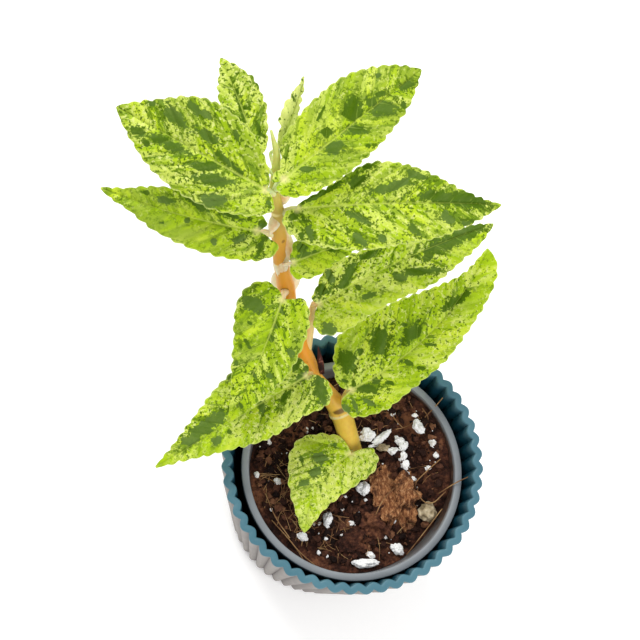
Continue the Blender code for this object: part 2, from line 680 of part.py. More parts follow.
def make_leaves(group):
    for leaf in LEAVES:
        finish = material(leaf.name + "_green", (0.42, 0.62, 0.05), 0.4)
        blade = blade_sheet(leaf.name, leaf_rows(leaf), LEAF_THICKNESS, group)
        blade.data.materials.append(finish)
        smooth(blade)


def make_dry_stipule(group):
    root, tip, half = DRY_STIPULE
    blade = blade_sheet("dry_stipule", sheath_rows(root, tip, half), 0.6, group)
    blade.data.materials.append(material("withered_brown", (0.16, 0.05, 0.03), 0.8))


def main():
    clear_scene()
    group = collection("potted_pellionia")
    cutters = collection("cutters")
    make_cachepot(group)
    make_nursery_pot(group, cutters)
    make_soil(group, cutters)
    make_stem(group)
    make_leaves(group)
    make_dry_stipule(group)


main()
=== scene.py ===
import math
import random

import bpy
import numpy as np
from mathutils import Matrix, Vector, noise


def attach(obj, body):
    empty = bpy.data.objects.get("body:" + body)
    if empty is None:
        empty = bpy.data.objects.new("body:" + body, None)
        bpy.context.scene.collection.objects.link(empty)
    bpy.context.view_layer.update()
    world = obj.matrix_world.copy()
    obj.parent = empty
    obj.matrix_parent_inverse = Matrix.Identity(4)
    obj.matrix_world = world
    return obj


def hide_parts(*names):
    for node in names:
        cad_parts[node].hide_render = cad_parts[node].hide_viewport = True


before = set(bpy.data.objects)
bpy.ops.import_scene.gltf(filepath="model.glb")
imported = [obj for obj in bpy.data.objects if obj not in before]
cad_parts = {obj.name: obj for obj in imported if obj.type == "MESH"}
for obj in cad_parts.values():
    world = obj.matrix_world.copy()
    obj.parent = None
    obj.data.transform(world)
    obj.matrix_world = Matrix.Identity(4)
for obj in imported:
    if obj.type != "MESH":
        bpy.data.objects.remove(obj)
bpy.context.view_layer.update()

# Cachepot
# The outer pot is one injection-moulded polypropylene cup, teal inside and on its rim and
# warm grey outside. Its thin wall is fluted all the way up, so the rim reads as a scalloped band.

MM = 0.001
POT_HEIGHT = 70.0
FLUTES = 52
STEPS_PER_FLUTE = 12
FLUTE_RISE = 0.6
FLUTE_TURN = math.radians(-1.6)
FLUTES_START = 0.8  # height over which the flutes grow out of the foot, outside
FLUTES_START_INSIDE = 1.5
POT_BASE = 27.6
POT_FOOT, POT_RIM = 28.75, 37.4  # middle of the wall, as a radius
POT_WALL = 2.2
POT_FLOOR = 2.4
TEAL_FROM = 69.3  # outside, the grey ends this high
CREASE = math.radians(40)  # a moulded edge sharper than this stays crisp


def start_piece(name):
    """The primitive that was just added, as a named piece."""
    piece = bpy.context.active_object
    piece.name = piece.data.name = name
    return piece


def pick_only(piece):
    """Selects the piece alone, for the operators that follow."""
    bpy.ops.object.select_all(action="DESELECT")
    piece.select_set(True)
    bpy.context.view_layer.objects.active = piece


def face_outwards(piece):
    """Merges what lies together and points every face out of the closed body."""
    pick_only(piece)
    bpy.ops.object.mode_set(mode="EDIT")
    bpy.ops.mesh.select_all(action="SELECT")
    bpy.ops.mesh.remove_doubles(threshold=0.000001)
    bpy.ops.mesh.normals_make_consistent(inside=False)
    bpy.ops.object.mode_set(mode="OBJECT")


def stack_rings(name, around, rings, centre=(0.0, 0.0)):
    """A round body, extruded from ring to ring, each a radius and a height in millimetres."""
    bpy.ops.object.select_all(action="DESELECT")
    bpy.ops.mesh.primitive_circle_add(
        vertices=around, radius=rings[0][0] * MM, fill_type="NGON",
        location=(centre[0] * MM, centre[1] * MM, rings[0][1] * MM),
    )
    piece = start_piece(name)
    bpy.ops.object.transform_apply(location=True, rotation=True, scale=True)
    bpy.ops.object.mode_set(mode="EDIT")
    bpy.ops.mesh.select_all(action="SELECT")
    for (radius, height), (wider, higher) in zip(rings, rings[1:]):
        rise = (higher - height) * MM
        bpy.ops.mesh.extrude_region_move(TRANSFORM_OT_translate={"value": (0, 0, rise)})
        grow = wider / radius
        middle = (centre[0] * MM, centre[1] * MM, higher * MM)
        bpy.ops.transform.resize(value=(grow, grow, 1), center_override=middle)
    bpy.ops.object.mode_set(mode="OBJECT")
    return piece


def linear(code):
    """A Blender colour from an sRGB hex value."""
    parts = [int(code[i:i + 2], 16) / 255 for i in (0, 2, 4)]
    return (*[p / 12.92 if p <= 0.04045 else ((p + 0.055) / 1.055) ** 2.4 for p in parts], 1.0)


def start_material(name, roughness, ior=1.45):
    """A new material, with its node tree and its shader."""
    made = bpy.data.materials.new(name)
    made.use_nodes = True
    shader = made.node_tree.nodes["Principled BSDF"]
    shader.inputs["Roughness"].default_value = roughness
    shader.inputs["IOR"].default_value = ior
    return made, made.node_tree, shader


def add(tree, kind, inputs=None, stops=(), out=0, **settings):
    """Adds a node with its settings and links, and gives the output that is asked for.

    An input is a value, a hex colour or the socket it comes from, under its name or its number:
    Map Range has its value at 0, from at 1 and 2 and to at 3 and 4, which are 0 and 1 unless
    given; Mix has its factor at 0 and its two colours at 6 and 7. The stops are the places and
    hex colours of a ramp.
    """
    made = tree.nodes.new("ShaderNode" + kind)
    for name, value in settings.items():
        setattr(made, name, value)
    for key, value in (inputs or {}).items():
        if isinstance(value, bpy.types.NodeSocket):
            tree.links.new(value, made.inputs[key])
        else:
            made.inputs[key].default_value = linear(value) if isinstance(value, str) else value
    for i, (place, colour) in enumerate(stops):
        if i > 1:
            made.color_ramp.elements.new(place)
        made.color_ramp.elements[i].position = place
        made.color_ramp.elements[i].color = linear(colour)
    return made.outputs[out]


def finish_surface(tree, shader, colour, relief=None, strength=0.0, depth=0.0):
    """Joins the colour to the shader, and the relief as a bump of that depth in millimetres."""
    tree.links.new(colour, shader.inputs["Base Color"])
    if relief is not None:
        bump = add(tree, "Bump", {"Strength": strength, "Distance": depth * MM, "Height": relief})
        tree.links.new(bump, shader.inputs["Normal"])


def wall_middle(height):
    """The radius of the middle of the wall."""
    return POT_FOOT + (POT_RIM - POT_FOOT) * height / POT_HEIGHT


half_wall = POT_WALL / 2
outer_rings = [(POT_BASE, 0.0), (28.9, 0.15)]
for height in (0.8, 2.0, 18.0, 36.0, 54.0, 68.5, 69.6):
    outer_rings.append((wall_middle(height) + half_wall, height))
outer_rings += [(POT_RIM + half_wall - 0.15, 69.9), (POT_RIM + half_wall - 0.45, POT_HEIGHT)]
inner_rings = [(POT_RIM - half_wall + 0.45, POT_HEIGHT), (POT_RIM - half_wall + 0.15, 69.9)]
for height in (69.6, 68.5, 54.0, 36.0, 18.0, 4.0):
    inner_rings.append((wall_middle(height) - half_wall, height))
inner_rings.append((wall_middle(2.6) - half_wall - 0.6, 2.6))
inner_rings.append((wall_middle(POT_FLOOR) - half_wall - 2.0, POT_FLOOR))
cachepot = stack_rings("fluted_cachepot", FLUTES * STEPS_PER_FLUTE, outer_rings + inner_rings)
for vert in cachepot.data.vertices:
    x, y, z = vert.co / MM
    radius = math.hypot(x, y)
    angle = math.atan2(y, x)
    phase = FLUTES * angle / 2
    outside = radius > wall_middle(z)
    if outside:
        wave = 2 * abs(math.cos(phase)) - 1
        grown = min(1.0, z / FLUTES_START)
    else:
        wave = 1 - 2 * abs(math.sin(phase))
        grown = min(1.0, max(0.0, (z - POT_FLOOR) / FLUTES_START_INSIDE))
    radius += FLUTE_RISE * wave * grown
    angle += FLUTE_TURN
    vert.co = Vector((radius * math.cos(angle), radius * math.sin(angle), z)) * MM
face_outwards(cachepot)

# Moulded polypropylene: a satin skin with a faint orange-peel. Inside, below the rim, painted
# shade darkens the teal.
teal_plastic, tree, shader = start_material("moulded_polypropylene_teal", 0.42, 1.49)
place = add(tree, "TexCoord", out="Object")
cloud = add(tree, "TexNoise", {"Vector": place, "Scale": 90.0, "Detail": 3.0})  # 11 mm drifts of tone
tone = add(tree, "ValToRGB", {0: cloud}, [(0.3, "497482"), (0.7, "56808d")])
height = add(tree, "SeparateXYZ", {0: place}, out=2)
# painted shade: below 66 mm the teal inside darkens to 14495a
deep = add(tree, "MapRange", {0: height, 1: 0.066, 2: 0.0695})
mixed = add(tree, "Mix", {0: deep, 6: "14495a", 7: tone}, out=2, data_type="RGBA")
peel = add(tree, "TexNoise", {"Vector": place, "Scale": 1400.0, "Detail": 2.0})  # 0.7 mm orange-peel
finish_surface(tree, shader, mixed, peel, 0.12, 0.1)

# The same plastic in warm grey, scuffed on a bench in patches. Painted shade darkens the grooves
# between the flutes, so that their crests look paler.
grey_outside, tree, shader = start_material("moulded_polypropylene_grey", 0.5, 1.49)
place = add(tree, "TexCoord", out="Object")
scuffs = add(tree, "TexNoise", {"Vector": place, "Scale": 60.0, "Detail": 4.0})  # 16 mm scuffs
tone = add(tree, "ValToRGB", {0: scuffs}, [(0.3, "807976"), (0.7, "969089")])
# painted shade: the hollow grooves between the flutes are darkened to 665d59
crest = add(tree, "NewGeometry", out="Pointiness")
painted_groove_shade = add(tree, "MapRange", {0: crest, 1: 0.44, 2: 0.54})
mixed = add(tree, "Mix", {0: painted_groove_shade, 6: "665d59", 7: tone}, out=2, data_type="RGBA")
peel = add(tree, "TexNoise", {"Vector": place, "Scale": 1400.0, "Detail": 2.0})
finish_surface(tree, shader, mixed, peel, 0.12, 0.1)

cachepot.data.materials.append(teal_plastic)
cachepot.data.materials.append(grey_outside)
for face in cachepot.data.polygons:
    middle = face.center / MM
    out = face.normal.x * middle.x + face.normal.y * middle.y
    if middle.z < TEAL_FROM and (out > 0 or face.normal.z < -0.5):
        face.material_index = 1
pick_only(cachepot)
bpy.ops.object.shade_smooth_by_angle(angle=CREASE)
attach(cachepot, "root")
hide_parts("cachepot")

# Nursery pot
# The grower's own pot is a thin thermoformed cup of grey plastic with a flat turned rim, which
# stands inside the cachepot on its floor. Six drain holes are punched in its foot.

NURSERY_CENTRE = (0.6, -1.2)
NURSERY_FOOT_Z = 2.7
NURSERY_AROUND = 160
DRAIN_HOLES, DRAIN_RADIUS, DRAIN_DEPTH = 6, 2.6, 6.0
DRAIN_RING = 15.0  # radius of the circle that the holes stand on

# Radius and height over the foot: up the outside, over the turned rim and down the inside
NURSERY_PROFILE = (
    (22.6, 0.0), (23.6, 0.2), (24.0, 0.8), (26.0, 15.0), (28.2, 32.0), (30.0, 45.0), (31.75, 58.8),
    (32.9, 59.2), (33.2, 59.45), (33.3, 61.3), (33.2, 61.65), (32.95, 61.8), (31.5, 61.8),
    (31.2, 61.65), (31.05, 61.3), (30.7, 58.5), (28.95, 45.0), (27.1, 32.0), (24.9, 15.0),
    (23.1, 2.0), (22.4, 1.2), (21.5, 1.1),
)
nursery_rings = [(radius, height + NURSERY_FOOT_Z) for radius, height in NURSERY_PROFILE]
nursery_pot = stack_rings("grower_pot", NURSERY_AROUND, nursery_rings, NURSERY_CENTRE)
face_outwards(nursery_pot)
for hole in range(DRAIN_HOLES):
    angle = math.radians(360 / DRAIN_HOLES * hole)
    x = NURSERY_CENTRE[0] + DRAIN_RING * math.cos(angle)
    y = NURSERY_CENTRE[1] + DRAIN_RING * math.sin(angle)
    bpy.ops.mesh.primitive_cylinder_add(
        vertices=32, radius=DRAIN_RADIUS * MM, depth=DRAIN_DEPTH * MM,
        location=(x * MM, y * MM, NURSERY_FOOT_Z * MM),
    )
    punch = start_piece("drain_punch")
    pick_only(nursery_pot)
    cut = nursery_pot.modifiers.new("drain", "BOOLEAN")
    cut.operation = "DIFFERENCE"
    cut.solver = "EXACT"
    cut.object = punch
    bpy.ops.object.modifier_apply(modifier="drain")
    bpy.data.objects.remove(punch)

# Thermoformed polypropylene, a cool grey. Below the rim, painted shade darkens its inside to a
# mottled dark brown, the more the lower it lies and most at the right.
grower_grey, tree, shader = start_material("thermoformed_polypropylene_grey", 0.45, 1.49)
place = add(tree, "TexCoord", out="Object")
drift = add(tree, "TexNoise", {"Vector": place, "Scale": 70.0, "Detail": 3.0})  # 14 mm drifts of tone
tone = add(tree, "ValToRGB", {0: drift}, [(0.3, "8a8f93"), (0.7, "9a9fa4")])
# 2.4 mm mottling, for the painted shade and the fine bump
wall_mottle = add(tree, "TexNoise", {"Vector": place, "Scale": 420.0, "Detail": 6.0, "Roughness": 0.7})
axes = add(tree, "SeparateXYZ", {0: place}).node.outputs
# painted shade below the rim: stronger the lower it lies, towards the right and away from the near side
low = add(tree, "MapRange", {0: axes[2], 1: 0.0642, 2: 0.0622, 3: 0.05, 4: 1.4})
for axis, clear, shadiest in ((0, 0.004, 0.018), (1, -0.020, -0.010)):
    side = add(tree, "MapRange", {0: axes[axis], 1: clear, 2: shadiest, 3: 0.4, 4: 1.0})
    low = add(tree, "Math", {0: low, 1: side}, operation="MULTIPLY")
painted_wall_shade = add(tree, "Math", {0: wall_mottle, 1: low}, operation="MULTIPLY")
painted_wall_shade = add(tree, "MapRange", {0: painted_wall_shade, 1: 0.12, 2: 0.5, 4: 0.95})
shade_brown = add(tree, "ValToRGB", {0: wall_mottle}, [(0.35, "2e1d15"), (0.65, "6e5040")])
mixed = add(tree, "Mix", {0: painted_wall_shade, 6: tone, 7: shade_brown}, out=2, data_type="RGBA")
finish_surface(tree, shader, mixed, wall_mottle, 0.1, 0.1)
nursery_pot.data.materials.append(grower_grey)
pick_only(nursery_pot)
bpy.ops.object.shade_smooth_by_angle(angle=CREASE)
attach(nursery_pot, "root")
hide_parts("nursery_pot")

# Potting mix
# Peat and fine bark fill the nursery pot to 7 mm below its rim. The mix is loose and crumbly: it
# has sunk at the lower right, and stands banked up against the wall at the right.

SOIL_TOP = 57.0
SOIL_FOOT, SOIL_FOOT_REACH = 46.0, 28.65  # the bed's hidden underside
SOIL_SHOULDER, SOIL_REACH = 53.5, 29.55  # where it meets the wall
SOIL_AROUND = 320
SOIL_ROWS = 120
WALL_SLOPE = 0.13  # the nursery pot's wall leans out by this much as it rises
LUMP_SIZE, LUMP_RISE = 7.0, 1.3
DIP_SPOT, DIP_DEPTH, DIP_WIDTH = (21.7, -18.3), 2.6, 9.0
BANK_RISE = 5.0
BANK_FROM, BANK_WIDTH = 20.0, 9.5  # from the middle of the nursery pot
BANK_HEADING, BANK_SPREAD = 25.0, 50.0  # in degrees
random_draw = random.Random(5)


def soil_bank(x, y):
    """How far the mix is banked up against the wall at the right."""
    x, y = x - NURSERY_CENTRE[0], y - NURSERY_CENTRE[1]
    near = min(1.0, max(0.0, (math.hypot(x, y) - BANK_FROM) / BANK_WIDTH))
    aside = (math.degrees(math.atan2(y, x)) - BANK_HEADING) / BANK_SPREAD
    return BANK_RISE * near * near * (3 - 2 * near) * math.exp(-(aside**4))


def soil_height(x, y):
    """The bed's top: the solid's lumps and sunken side, and the bank."""
    coarse = noise.noise(Vector((x, y, 0)) / LUMP_SIZE)
    fine = noise.noise(Vector((y, x, 5)) / (LUMP_SIZE / 2))
    off_centre = (x - DIP_SPOT[0]) ** 2 + (y - DIP_SPOT[1]) ** 2
    dip = DIP_DEPTH * math.exp(-off_centre / (2 * DIP_WIDTH**2))
    return SOIL_TOP + LUMP_RISE * (coarse + 0.5 * fine) - dip + soil_bank(x, y)


def crumble(x, y):
    """How far crumbs of 2.6, 1.3 and 0.65 mm stand out, with sharp hollows between them."""
    spot = Vector((x, y, 0))
    crumb = 0.0
    for size, rise in ((2.6, 0.9), (1.3, 0.55), (0.65, 0.3)):
        distances = noise.voronoi(spot / size + Vector((size, 3 * size, 0)))[0]
        crumb += rise * (0.5 - min(distances[0], 1.0))
    return crumb


bed_rings = [(SOIL_FOOT_REACH, SOIL_FOOT)]
for row in range(SOIL_ROWS):
    bed_rings.append((SOIL_REACH * (1 - row / SOIL_ROWS), SOIL_SHOULDER))
soil_bed = stack_rings("peat_bed", SOIL_AROUND, bed_rings, NURSERY_CENTRE)
for vert in soil_bed.data.vertices:
    x, y, z = vert.co / MM
    if z > SOIL_SHOULDER - 0.5:
        z = soil_height(x, y) + crumble(x, y)
        spoke = Vector((x - NURSERY_CENTRE[0], y - NURSERY_CENTRE[1], 0))
        spread = WALL_SLOPE * (z - SOIL_SHOULDER) * (spoke.length / SOIL_REACH) ** 8
        vert.co = (Vector((x, y, z)) + spoke.normalized() * spread) * MM
face_outwards(soil_bed)

# Peat: dark brown, damp and without gloss, mixed from nearly black humus and red-brown fibre.
peat, tree, shader = start_material("damp_peat", 0.9, 1.4)
place = add(tree, "TexCoord", out="Object")
# 1.4 mm grains, in 9 mm patches
grain = add(tree, "TexNoise", {"Vector": place, "Scale": 700.0, "Detail": 5.0, "Roughness": 0.7})
patch = add(tree, "TexNoise", {"Vector": place, "Scale": 110.0, "Detail": 2.0})
both = add(tree, "Math", {0: grain, 1: patch}, operation="ADD")
half = add(tree, "Math", {0: both, 1: 0.5}, operation="MULTIPLY")
tone = add(
    tree, "ValToRGB", {0: half},
    [(0.36, "1c0c07"), (0.45, "381f17"), (0.53, "573426"), (0.62, "84593f")],
)
finish_surface(tree, shader, tone, grain, 0.6, 0.3)
soil_bed.data.materials.append(peat)
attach(soil_bed, "root")
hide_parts("soil")

# Peat crumbs
# Loose bits of the same mix, from dust to 3 mm, lie on the bed where watering has left them.
# They are torn pieces, so none is round.

CRUMB_COUNT = 1500
STEM_FOOT, STEM_CLEAR = (1.6, 5.3), 4.0  # where the stem leaves the mix, and the room it keeps
FULL_TURN = 6.28


def keep_values(mesh, key, values):
    """Keeps one value for each point of a mesh, for its material to read."""
    mesh.attributes.new(key, "FLOAT", "POINT").data.foreach_set("value", values)


def add_lump(name, detail, rough, seed):
    """A rough lump one unit across, from an icosphere pushed in and out by noise."""
    bpy.ops.object.select_all(action="DESELECT")
    bpy.ops.mesh.primitive_ico_sphere_add(subdivisions=detail, radius=0.5)
    lump = start_piece(name)
    for vert in lump.data.vertices:
        shift = noise.noise(vert.co * 2.6 + Vector((seed, 0, 0)))
        shift += 0.5 * noise.noise(vert.co * 6.0 + Vector((0, seed, 0)))
        vert.co *= 1 + rough * shift
    return lump


def scatter(name, lumps, places):
    """Copies of the lumps in one piece, each with its place, size, turn and tone."""
    points, faces, tones = [], [], []
    count = 0
    for place, size, turn, tone in places:
        lump = lumps[len(faces) % len(lumps)]
        verts = np.array([v.co for v in lump.data.vertices]) * np.array(size)
        verts = verts @ np.array(turn.to_matrix()).T + np.array(place)
        points.append(verts * MM)
        faces.append(np.array([p.vertices[:] for p in lump.data.polygons]) + count)
        tones.append(np.full(len(verts), tone))
        count += len(verts)
    mesh = bpy.data.meshes.new(name)
    mesh.from_pydata(np.concatenate(points).tolist(), [], np.concatenate(faces).tolist())
    keep_values(mesh, "tone", np.concatenate(tones))
    piece = bpy.data.objects.new(name, mesh)
    bpy.context.scene.collection.objects.link(piece)
    for lump in lumps:
        bpy.data.objects.remove(lump)
    return piece


def random_turn():
    """Tilts a crumb by up to 55 degrees and spins it."""
    tilt = Vector((random_draw.uniform(-1, 1), random_draw.uniform(-1, 1), 1)).to_track_quat("Z", "Y")
    return tilt @ Matrix.Rotation(random_draw.uniform(0, FULL_TURN), 3, "Z").to_quaternion()


def on_soil(margin):
    """A random spot on the bed, clear of its edge and of the stem."""
    while True:
        x, y = random_draw.uniform(-30, 30), random_draw.uniform(-30, 30)
        inside = math.hypot(x, y) < SOIL_REACH - margin
        x += NURSERY_CENTRE[0]
        if inside and math.hypot(x - STEM_FOOT[0], y - STEM_FOOT[1]) > STEM_CLEAR:
            return x, y


crumb_places = []
for i in range(CRUMB_COUNT):
    x, y = on_soil(0.9)
    size = 0.6 + 2.4 * random_draw.random() ** 3
    shape = (size, size * random_draw.uniform(0.6, 1.0), size * random_draw.uniform(0.5, 0.9))
    place = (x, y, soil_height(x, y) + 0.15 * size + random_draw.uniform(-0.1, 0.4))
    crumb_places.append((place, shape, random_turn(), random_draw.random()))
crumb_lumps = [add_lump("crumb", 2, 0.7, seed) for seed in (1, 4, 9)]
peat_crumbs = scatter("peat_crumbs", crumb_lumps, crumb_places)

# Crumbs of the same peat; each has its own shade, from black humus to dry red-brown fibre.
crumb_peat, tree, shader = start_material("crumbled_peat", 0.92, 1.4)
place = add(tree, "TexCoord", out="Object")
own = add(tree, "Attribute", out="Fac", attribute_name="tone")
grain = add(tree, "TexNoise", {"Vector": place, "Scale": 1200.0, "Detail": 3.0})  # 0.8 mm
mixture = add(tree, "Math", {0: own, 1: 0.7, 2: 0.0}, operation="MULTIPLY_ADD")
mixture = add(tree, "Math", {0: grain, 1: 0.3, 2: mixture}, operation="MULTIPLY_ADD")
tone = add(
    tree, "ValToRGB", {0: mixture},
    [(0.12, "1a0d0a"), (0.45, "3f261d"), (0.7, "684433"), (0.88, "9a7052")],
)
finish_surface(tree, shader, tone)
peat_crumbs.data.materials.append(crumb_peat)
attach(peat_crumbs, "root")

# Perlite
# White grains of expanded volcanic glass are mixed into the peat to keep it open. They are
# light, dry and full of pits, from under 1 to 8 mm, and the largest lie beside the stem.

SPECK_COUNT = 110

# x, y, length, width, and how far the long side is turned
LARGE_PERLITE = (
    (5.9, 10.4, 4.6, 4, 20), (10.5, 9.9, 8, 2.6, 42), (16.1, 9.3, 3.6, 2.6, -30),
    (17.3, 7.5, 3.2, 2.6, 60), (14.3, 5.9, 3.4, 2.4, 10), (17, 4.3, 3, 2.4, 70),
    (17.6, 2.1, 3.4, 2.6, -60), (21.6, 13, 4.4, 3.2, -50), (25.6, 8, 2.2, 2.4, 0),
    (26.7, 4.4, 1.6, 1.8, 0), (24.8, 0.8, 1.5, 1.4, 0), (18.1, -1.1, 2.6, 2, 20),
    (20.3, -2.3, 2, 1.4, 0), (4.9, -6, 3.8, 4.2, 30), (-6.1, -15.9, 2.8, 4.4, -10),
    (-13.5, -21.1, 3.2, 2.4, -20), (1.3, -16.5, 1.8, 1.6, 0), (6.1, -18.4, 1.4, 1.2, 0),
    (15.3, -23.7, 4, 3, -30), (5.7, -28.3, 7.4, 2.8, 5), (7.1, -25.9, 2, 2.6, 60),
    (-24.3, 7.1, 2, 2, 0), (-21.1, -4.9, 2.2, 2.4, 0), (-27.5, -3.1, 1.6, 1.8, 0),
    (20.3, 16.5, 1.8, 1.2, 0), (3.3, -11.9, 1.8, 1.4, 0), (-1.5, -20.3, 1.6, 1.2, 0),
    (11.7, -20.3, 1.4, 1.2, 0),
)
bold_places = []
for x, y, length, width, turn in LARGE_PERLITE:
    place = (x, y, soil_height(x, y) + 0.35 * width + 0.3)
    turned = Matrix.Rotation(math.radians(turn), 3, "Z").to_quaternion()
    clean = random_draw.uniform(0.75, 1.0) * (1.0 if length > 2.2 else 0.55)
    bold_places.append((place, (length, width, width * 0.85), turned, clean))
bold_lumps = [add_lump("grain", 4, 0.42, seed) for seed in (2, 7, 12)]
large_perlite = scatter("perlite_grains", bold_lumps, bold_places)
dust_places = []
for i in range(SPECK_COUNT):
    x, y = on_soil(1.5)
    size = 0.35 + 0.9 * random_draw.random() ** 2
    place = (x, y, soil_height(x, y) + 0.5)
    dust_places.append((place, (size * 1.2, size, size), random_turn(), random_draw.uniform(0.2, 1.0)))
dust_lumps = [add_lump("speck", 2, 0.4, seed) for seed in (3, 8)]
perlite_dust = scatter("perlite_specks", dust_lumps, dust_places)

# Expanded perlite: chalk white, pitted at about 0.5 mm, stained by peat in its hollows.
perlite, tree, shader = start_material("expanded_perlite", 0.85, 1.5)
place = add(tree, "TexCoord", out="Object")
own = add(tree, "Attribute", out="Fac", attribute_name="tone")
pits = add(tree, "TexVoronoi", {"Vector": place, "Scale": 1900.0})  # 0.5 mm pits
stain = add(tree, "TexNoise", {"Vector": place, "Scale": 600.0, "Detail": 3.0})  # 1.7 mm stains
clean = add(tree, "Math", {0: own, 1: stain}, operation="ADD")
tone = add(tree, "ValToRGB", {0: clean}, [(0.5, "8c7a66"), (0.85, "e6e2da"), (1.0, "ffffff")])
finish_surface(tree, shader, tone, pits, 0.5, 0.2)
for grains in (large_perlite, perlite_dust):
    grains.data.materials.append(perlite)
    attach(grains, "root")

# Bark and coir lumps
# A red-brown wad of coir and two dark clods of peat are sunk in the bed. Two chips of bark lie on
# it, one against the wall and one beside the stem, pale and blotched grey-green with algae.


def add_clod(name, place, size, detail, rough, crusty, seed):
    """A lump of that size in millimetres, with a crust of finer noise on it."""
    clod = add_lump(name, detail, rough, seed)
    for vert in clod.data.vertices:
        crust = noise.fractal(vert.co * 9.0 + Vector((0, 0, seed)), 0.6, 2.0, 4)
        spot = vert.co * (1 + crusty * crust) * Vector(size)
        vert.co = spot * MM + Vector(place) * MM
    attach(clod, "root")
    return clod


coir_wad = add_clod("coir_wad", (16.1, -8.3, 56.2), (13.5, 16.4, 7.6), 6, 0.9, 0.06, 3.3)
dark_clod = add_clod("peat_clod", (0.1, -22.3, 56.2), (9.5, 8.5, 6.0), 5, 0.7, 0.12, 8.1)
near_clod = add_clod("peat_clod_near", (8.3, -14.9, 56.4), (10.0, 9.0, 5.6), 5, 0.9, 0.12, 5.7)
mossy_chip = add_clod("mossy_chip", (24.9, -12.3, 57.0), (5.4, 5.8, 4.2), 5, 0.3, 0.03, 1.9)
pale_chip = add_clod("pale_bark_chip", (10.9, 6.8, 58.4), (3.4, 2.2, 2.0), 4, 0.6, 0.04, 4.4)

# Coir: matted red-brown fibre, lighter where the ends stand up and dark where peat fills it.
coir, tree, shader = start_material("matted_coir", 0.95, 1.4)
place = add(tree, "TexCoord", out="Object")
turned = add(tree, "Mapping", {0: place, "Rotation": (0.3, 0.2, 0.7), "Scale": (1.0, 0.45, 1.0)})
# 0.8 mm strands, drawn out to 1.7 mm
fibre = add(tree, "TexNoise", {"Vector": turned, "Scale": 1300.0, "Detail": 6.0, "Roughness": 0.75})
tone = add(
    tree, "ValToRGB", {0: fibre},
    [(0.32, "45230f"), (0.45, "85573a"), (0.56, "b58358"), (0.68, "e0b892")],
)
# 3 mm pockets of peat
filled = add(tree, "TexNoise", {"Vector": place, "Scale": 330.0, "Detail": 4.0, "Roughness": 0.65})
filled = add(tree, "MapRange", {0: filled, 1: 0.50, 2: 0.60, 4: 0.8})
mixed = add(tree, "Mix", {0: filled, 6: tone, 7: "452a1e"}, out=2, data_type="RGBA")
finish_surface(tree, shader, mixed, fibre, 0.9, 0.4)
coir_wad.data.materials.append(coir)
dark_clod.data.materials.append(peat)
near_clod.data.materials.append(peat)

# Bark weathered to a dry, dull tan, blotched grey-green with algae.
mossy_bark, tree, shader = start_material("algae_stained_bark", 0.9, 1.4)
place = add(tree, "TexCoord", out="Object")
blots = add(tree, "TexNoise", {"Vector": place, "Scale": 500.0, "Detail": 4.0})  # 2 mm
tone = add(tree, "ValToRGB", {0: blots}, [(0.35, "85765a"), (0.5, "b8a88a"), (0.65, "d8caae")])
finish_surface(tree, shader, tone)
for chip in (mossy_chip, pale_chip):
    chip.data.materials.append(mossy_bark)

# Straw and root fibres
# Dry stalks of sedge from the peat lie criss-cross on the bed, thickest at the left of the
# pot. A few stick out over the rims. They are hair-thin, pale and bent where they were cut.

FIBRE_COUNT = 150
FIBRE_REACH = SOIL_REACH - 0.8  # no loose fibre goes through the wall

# Points of the longest fibres, in millimetres
LONG_FIBRES = (
    ((-24.8, -8.8, 58.6), (-21.8, -15.8, 59.6), (-17.3, -21.8, 58.8)),
    ((-18.3, -21.3, 58.4), (-13.9, -26.3, 59.4), (-9.9, -29.3, 58.6)),
    ((-22.7, -16.5, 58.0), (-15.3, -24.9, 59.0), (-12.3, -29.3, 58.2)),
    ((13.7, -4.5, 60.0), (19.7, -6.3, 60.4), (24.7, -9.9, 59.0), (29.3, -6.9, 62.4)),
    ((27.3, -7.3, 61.4), (31.7, -4.7, 65.4), (36.3, -2.5, 66.6)),
    ((18.1, -25.3, 57.4), (23.1, -18.9, 59.0), (28.3, -11.9, 61.4)),
    ((23.1, 15.7, 62.9), (27.3, 20.3, 65.2), (30.3, 24.3, 68.4)),
    ((20.1, -4.3, 59.4), (23.7, -0.7, 60.8), (27.9, 3.1, 62.2)),
    ((8.1, -14.3, 60.4), (10.3, -9.9, 61.2), (13.9, -5.9, 60.4)),
    ((-4.3, 16.7, 59.2), (4.3, 19.1, 60.0), (11.7, 22.7, 60.4)),
    ((21.7, 10.7, 60.4), (24.1, 15.3, 63.0), (22.3, 18.5, 63.2)),
)


def new_curve(name, sides_level):
    """A curve for round strands: the radius of a point is in millimetres."""
    data = bpy.data.curves.new(name, "CURVE")
    data.dimensions = "3D"
    data.bevel_depth = MM
    data.bevel_resolution = sides_level
    data.use_fill_caps = True
    return data


def fibre_spline(data, points, radius):
    """One bent fibre."""
    spline = data.splines.new("BEZIER")
    spline.bezier_points.add(len(points) - 1)
    for knot, point in zip(spline.bezier_points, points):
        knot.co = Vector(point) * MM
        knot.handle_left_type = knot.handle_right_type = "AUTO"
        knot.radius = radius


def make_mesh_piece(name, data):
    """The curve as a mesh with its ends closed."""
    guide = bpy.data.objects.new(name, data)
    bpy.context.scene.collection.objects.link(guide)
    pick_only(guide)
    bpy.ops.object.convert(target="MESH")
    piece = start_piece(name)
    face_outwards(piece)
    bpy.ops.object.shade_smooth()
    return piece


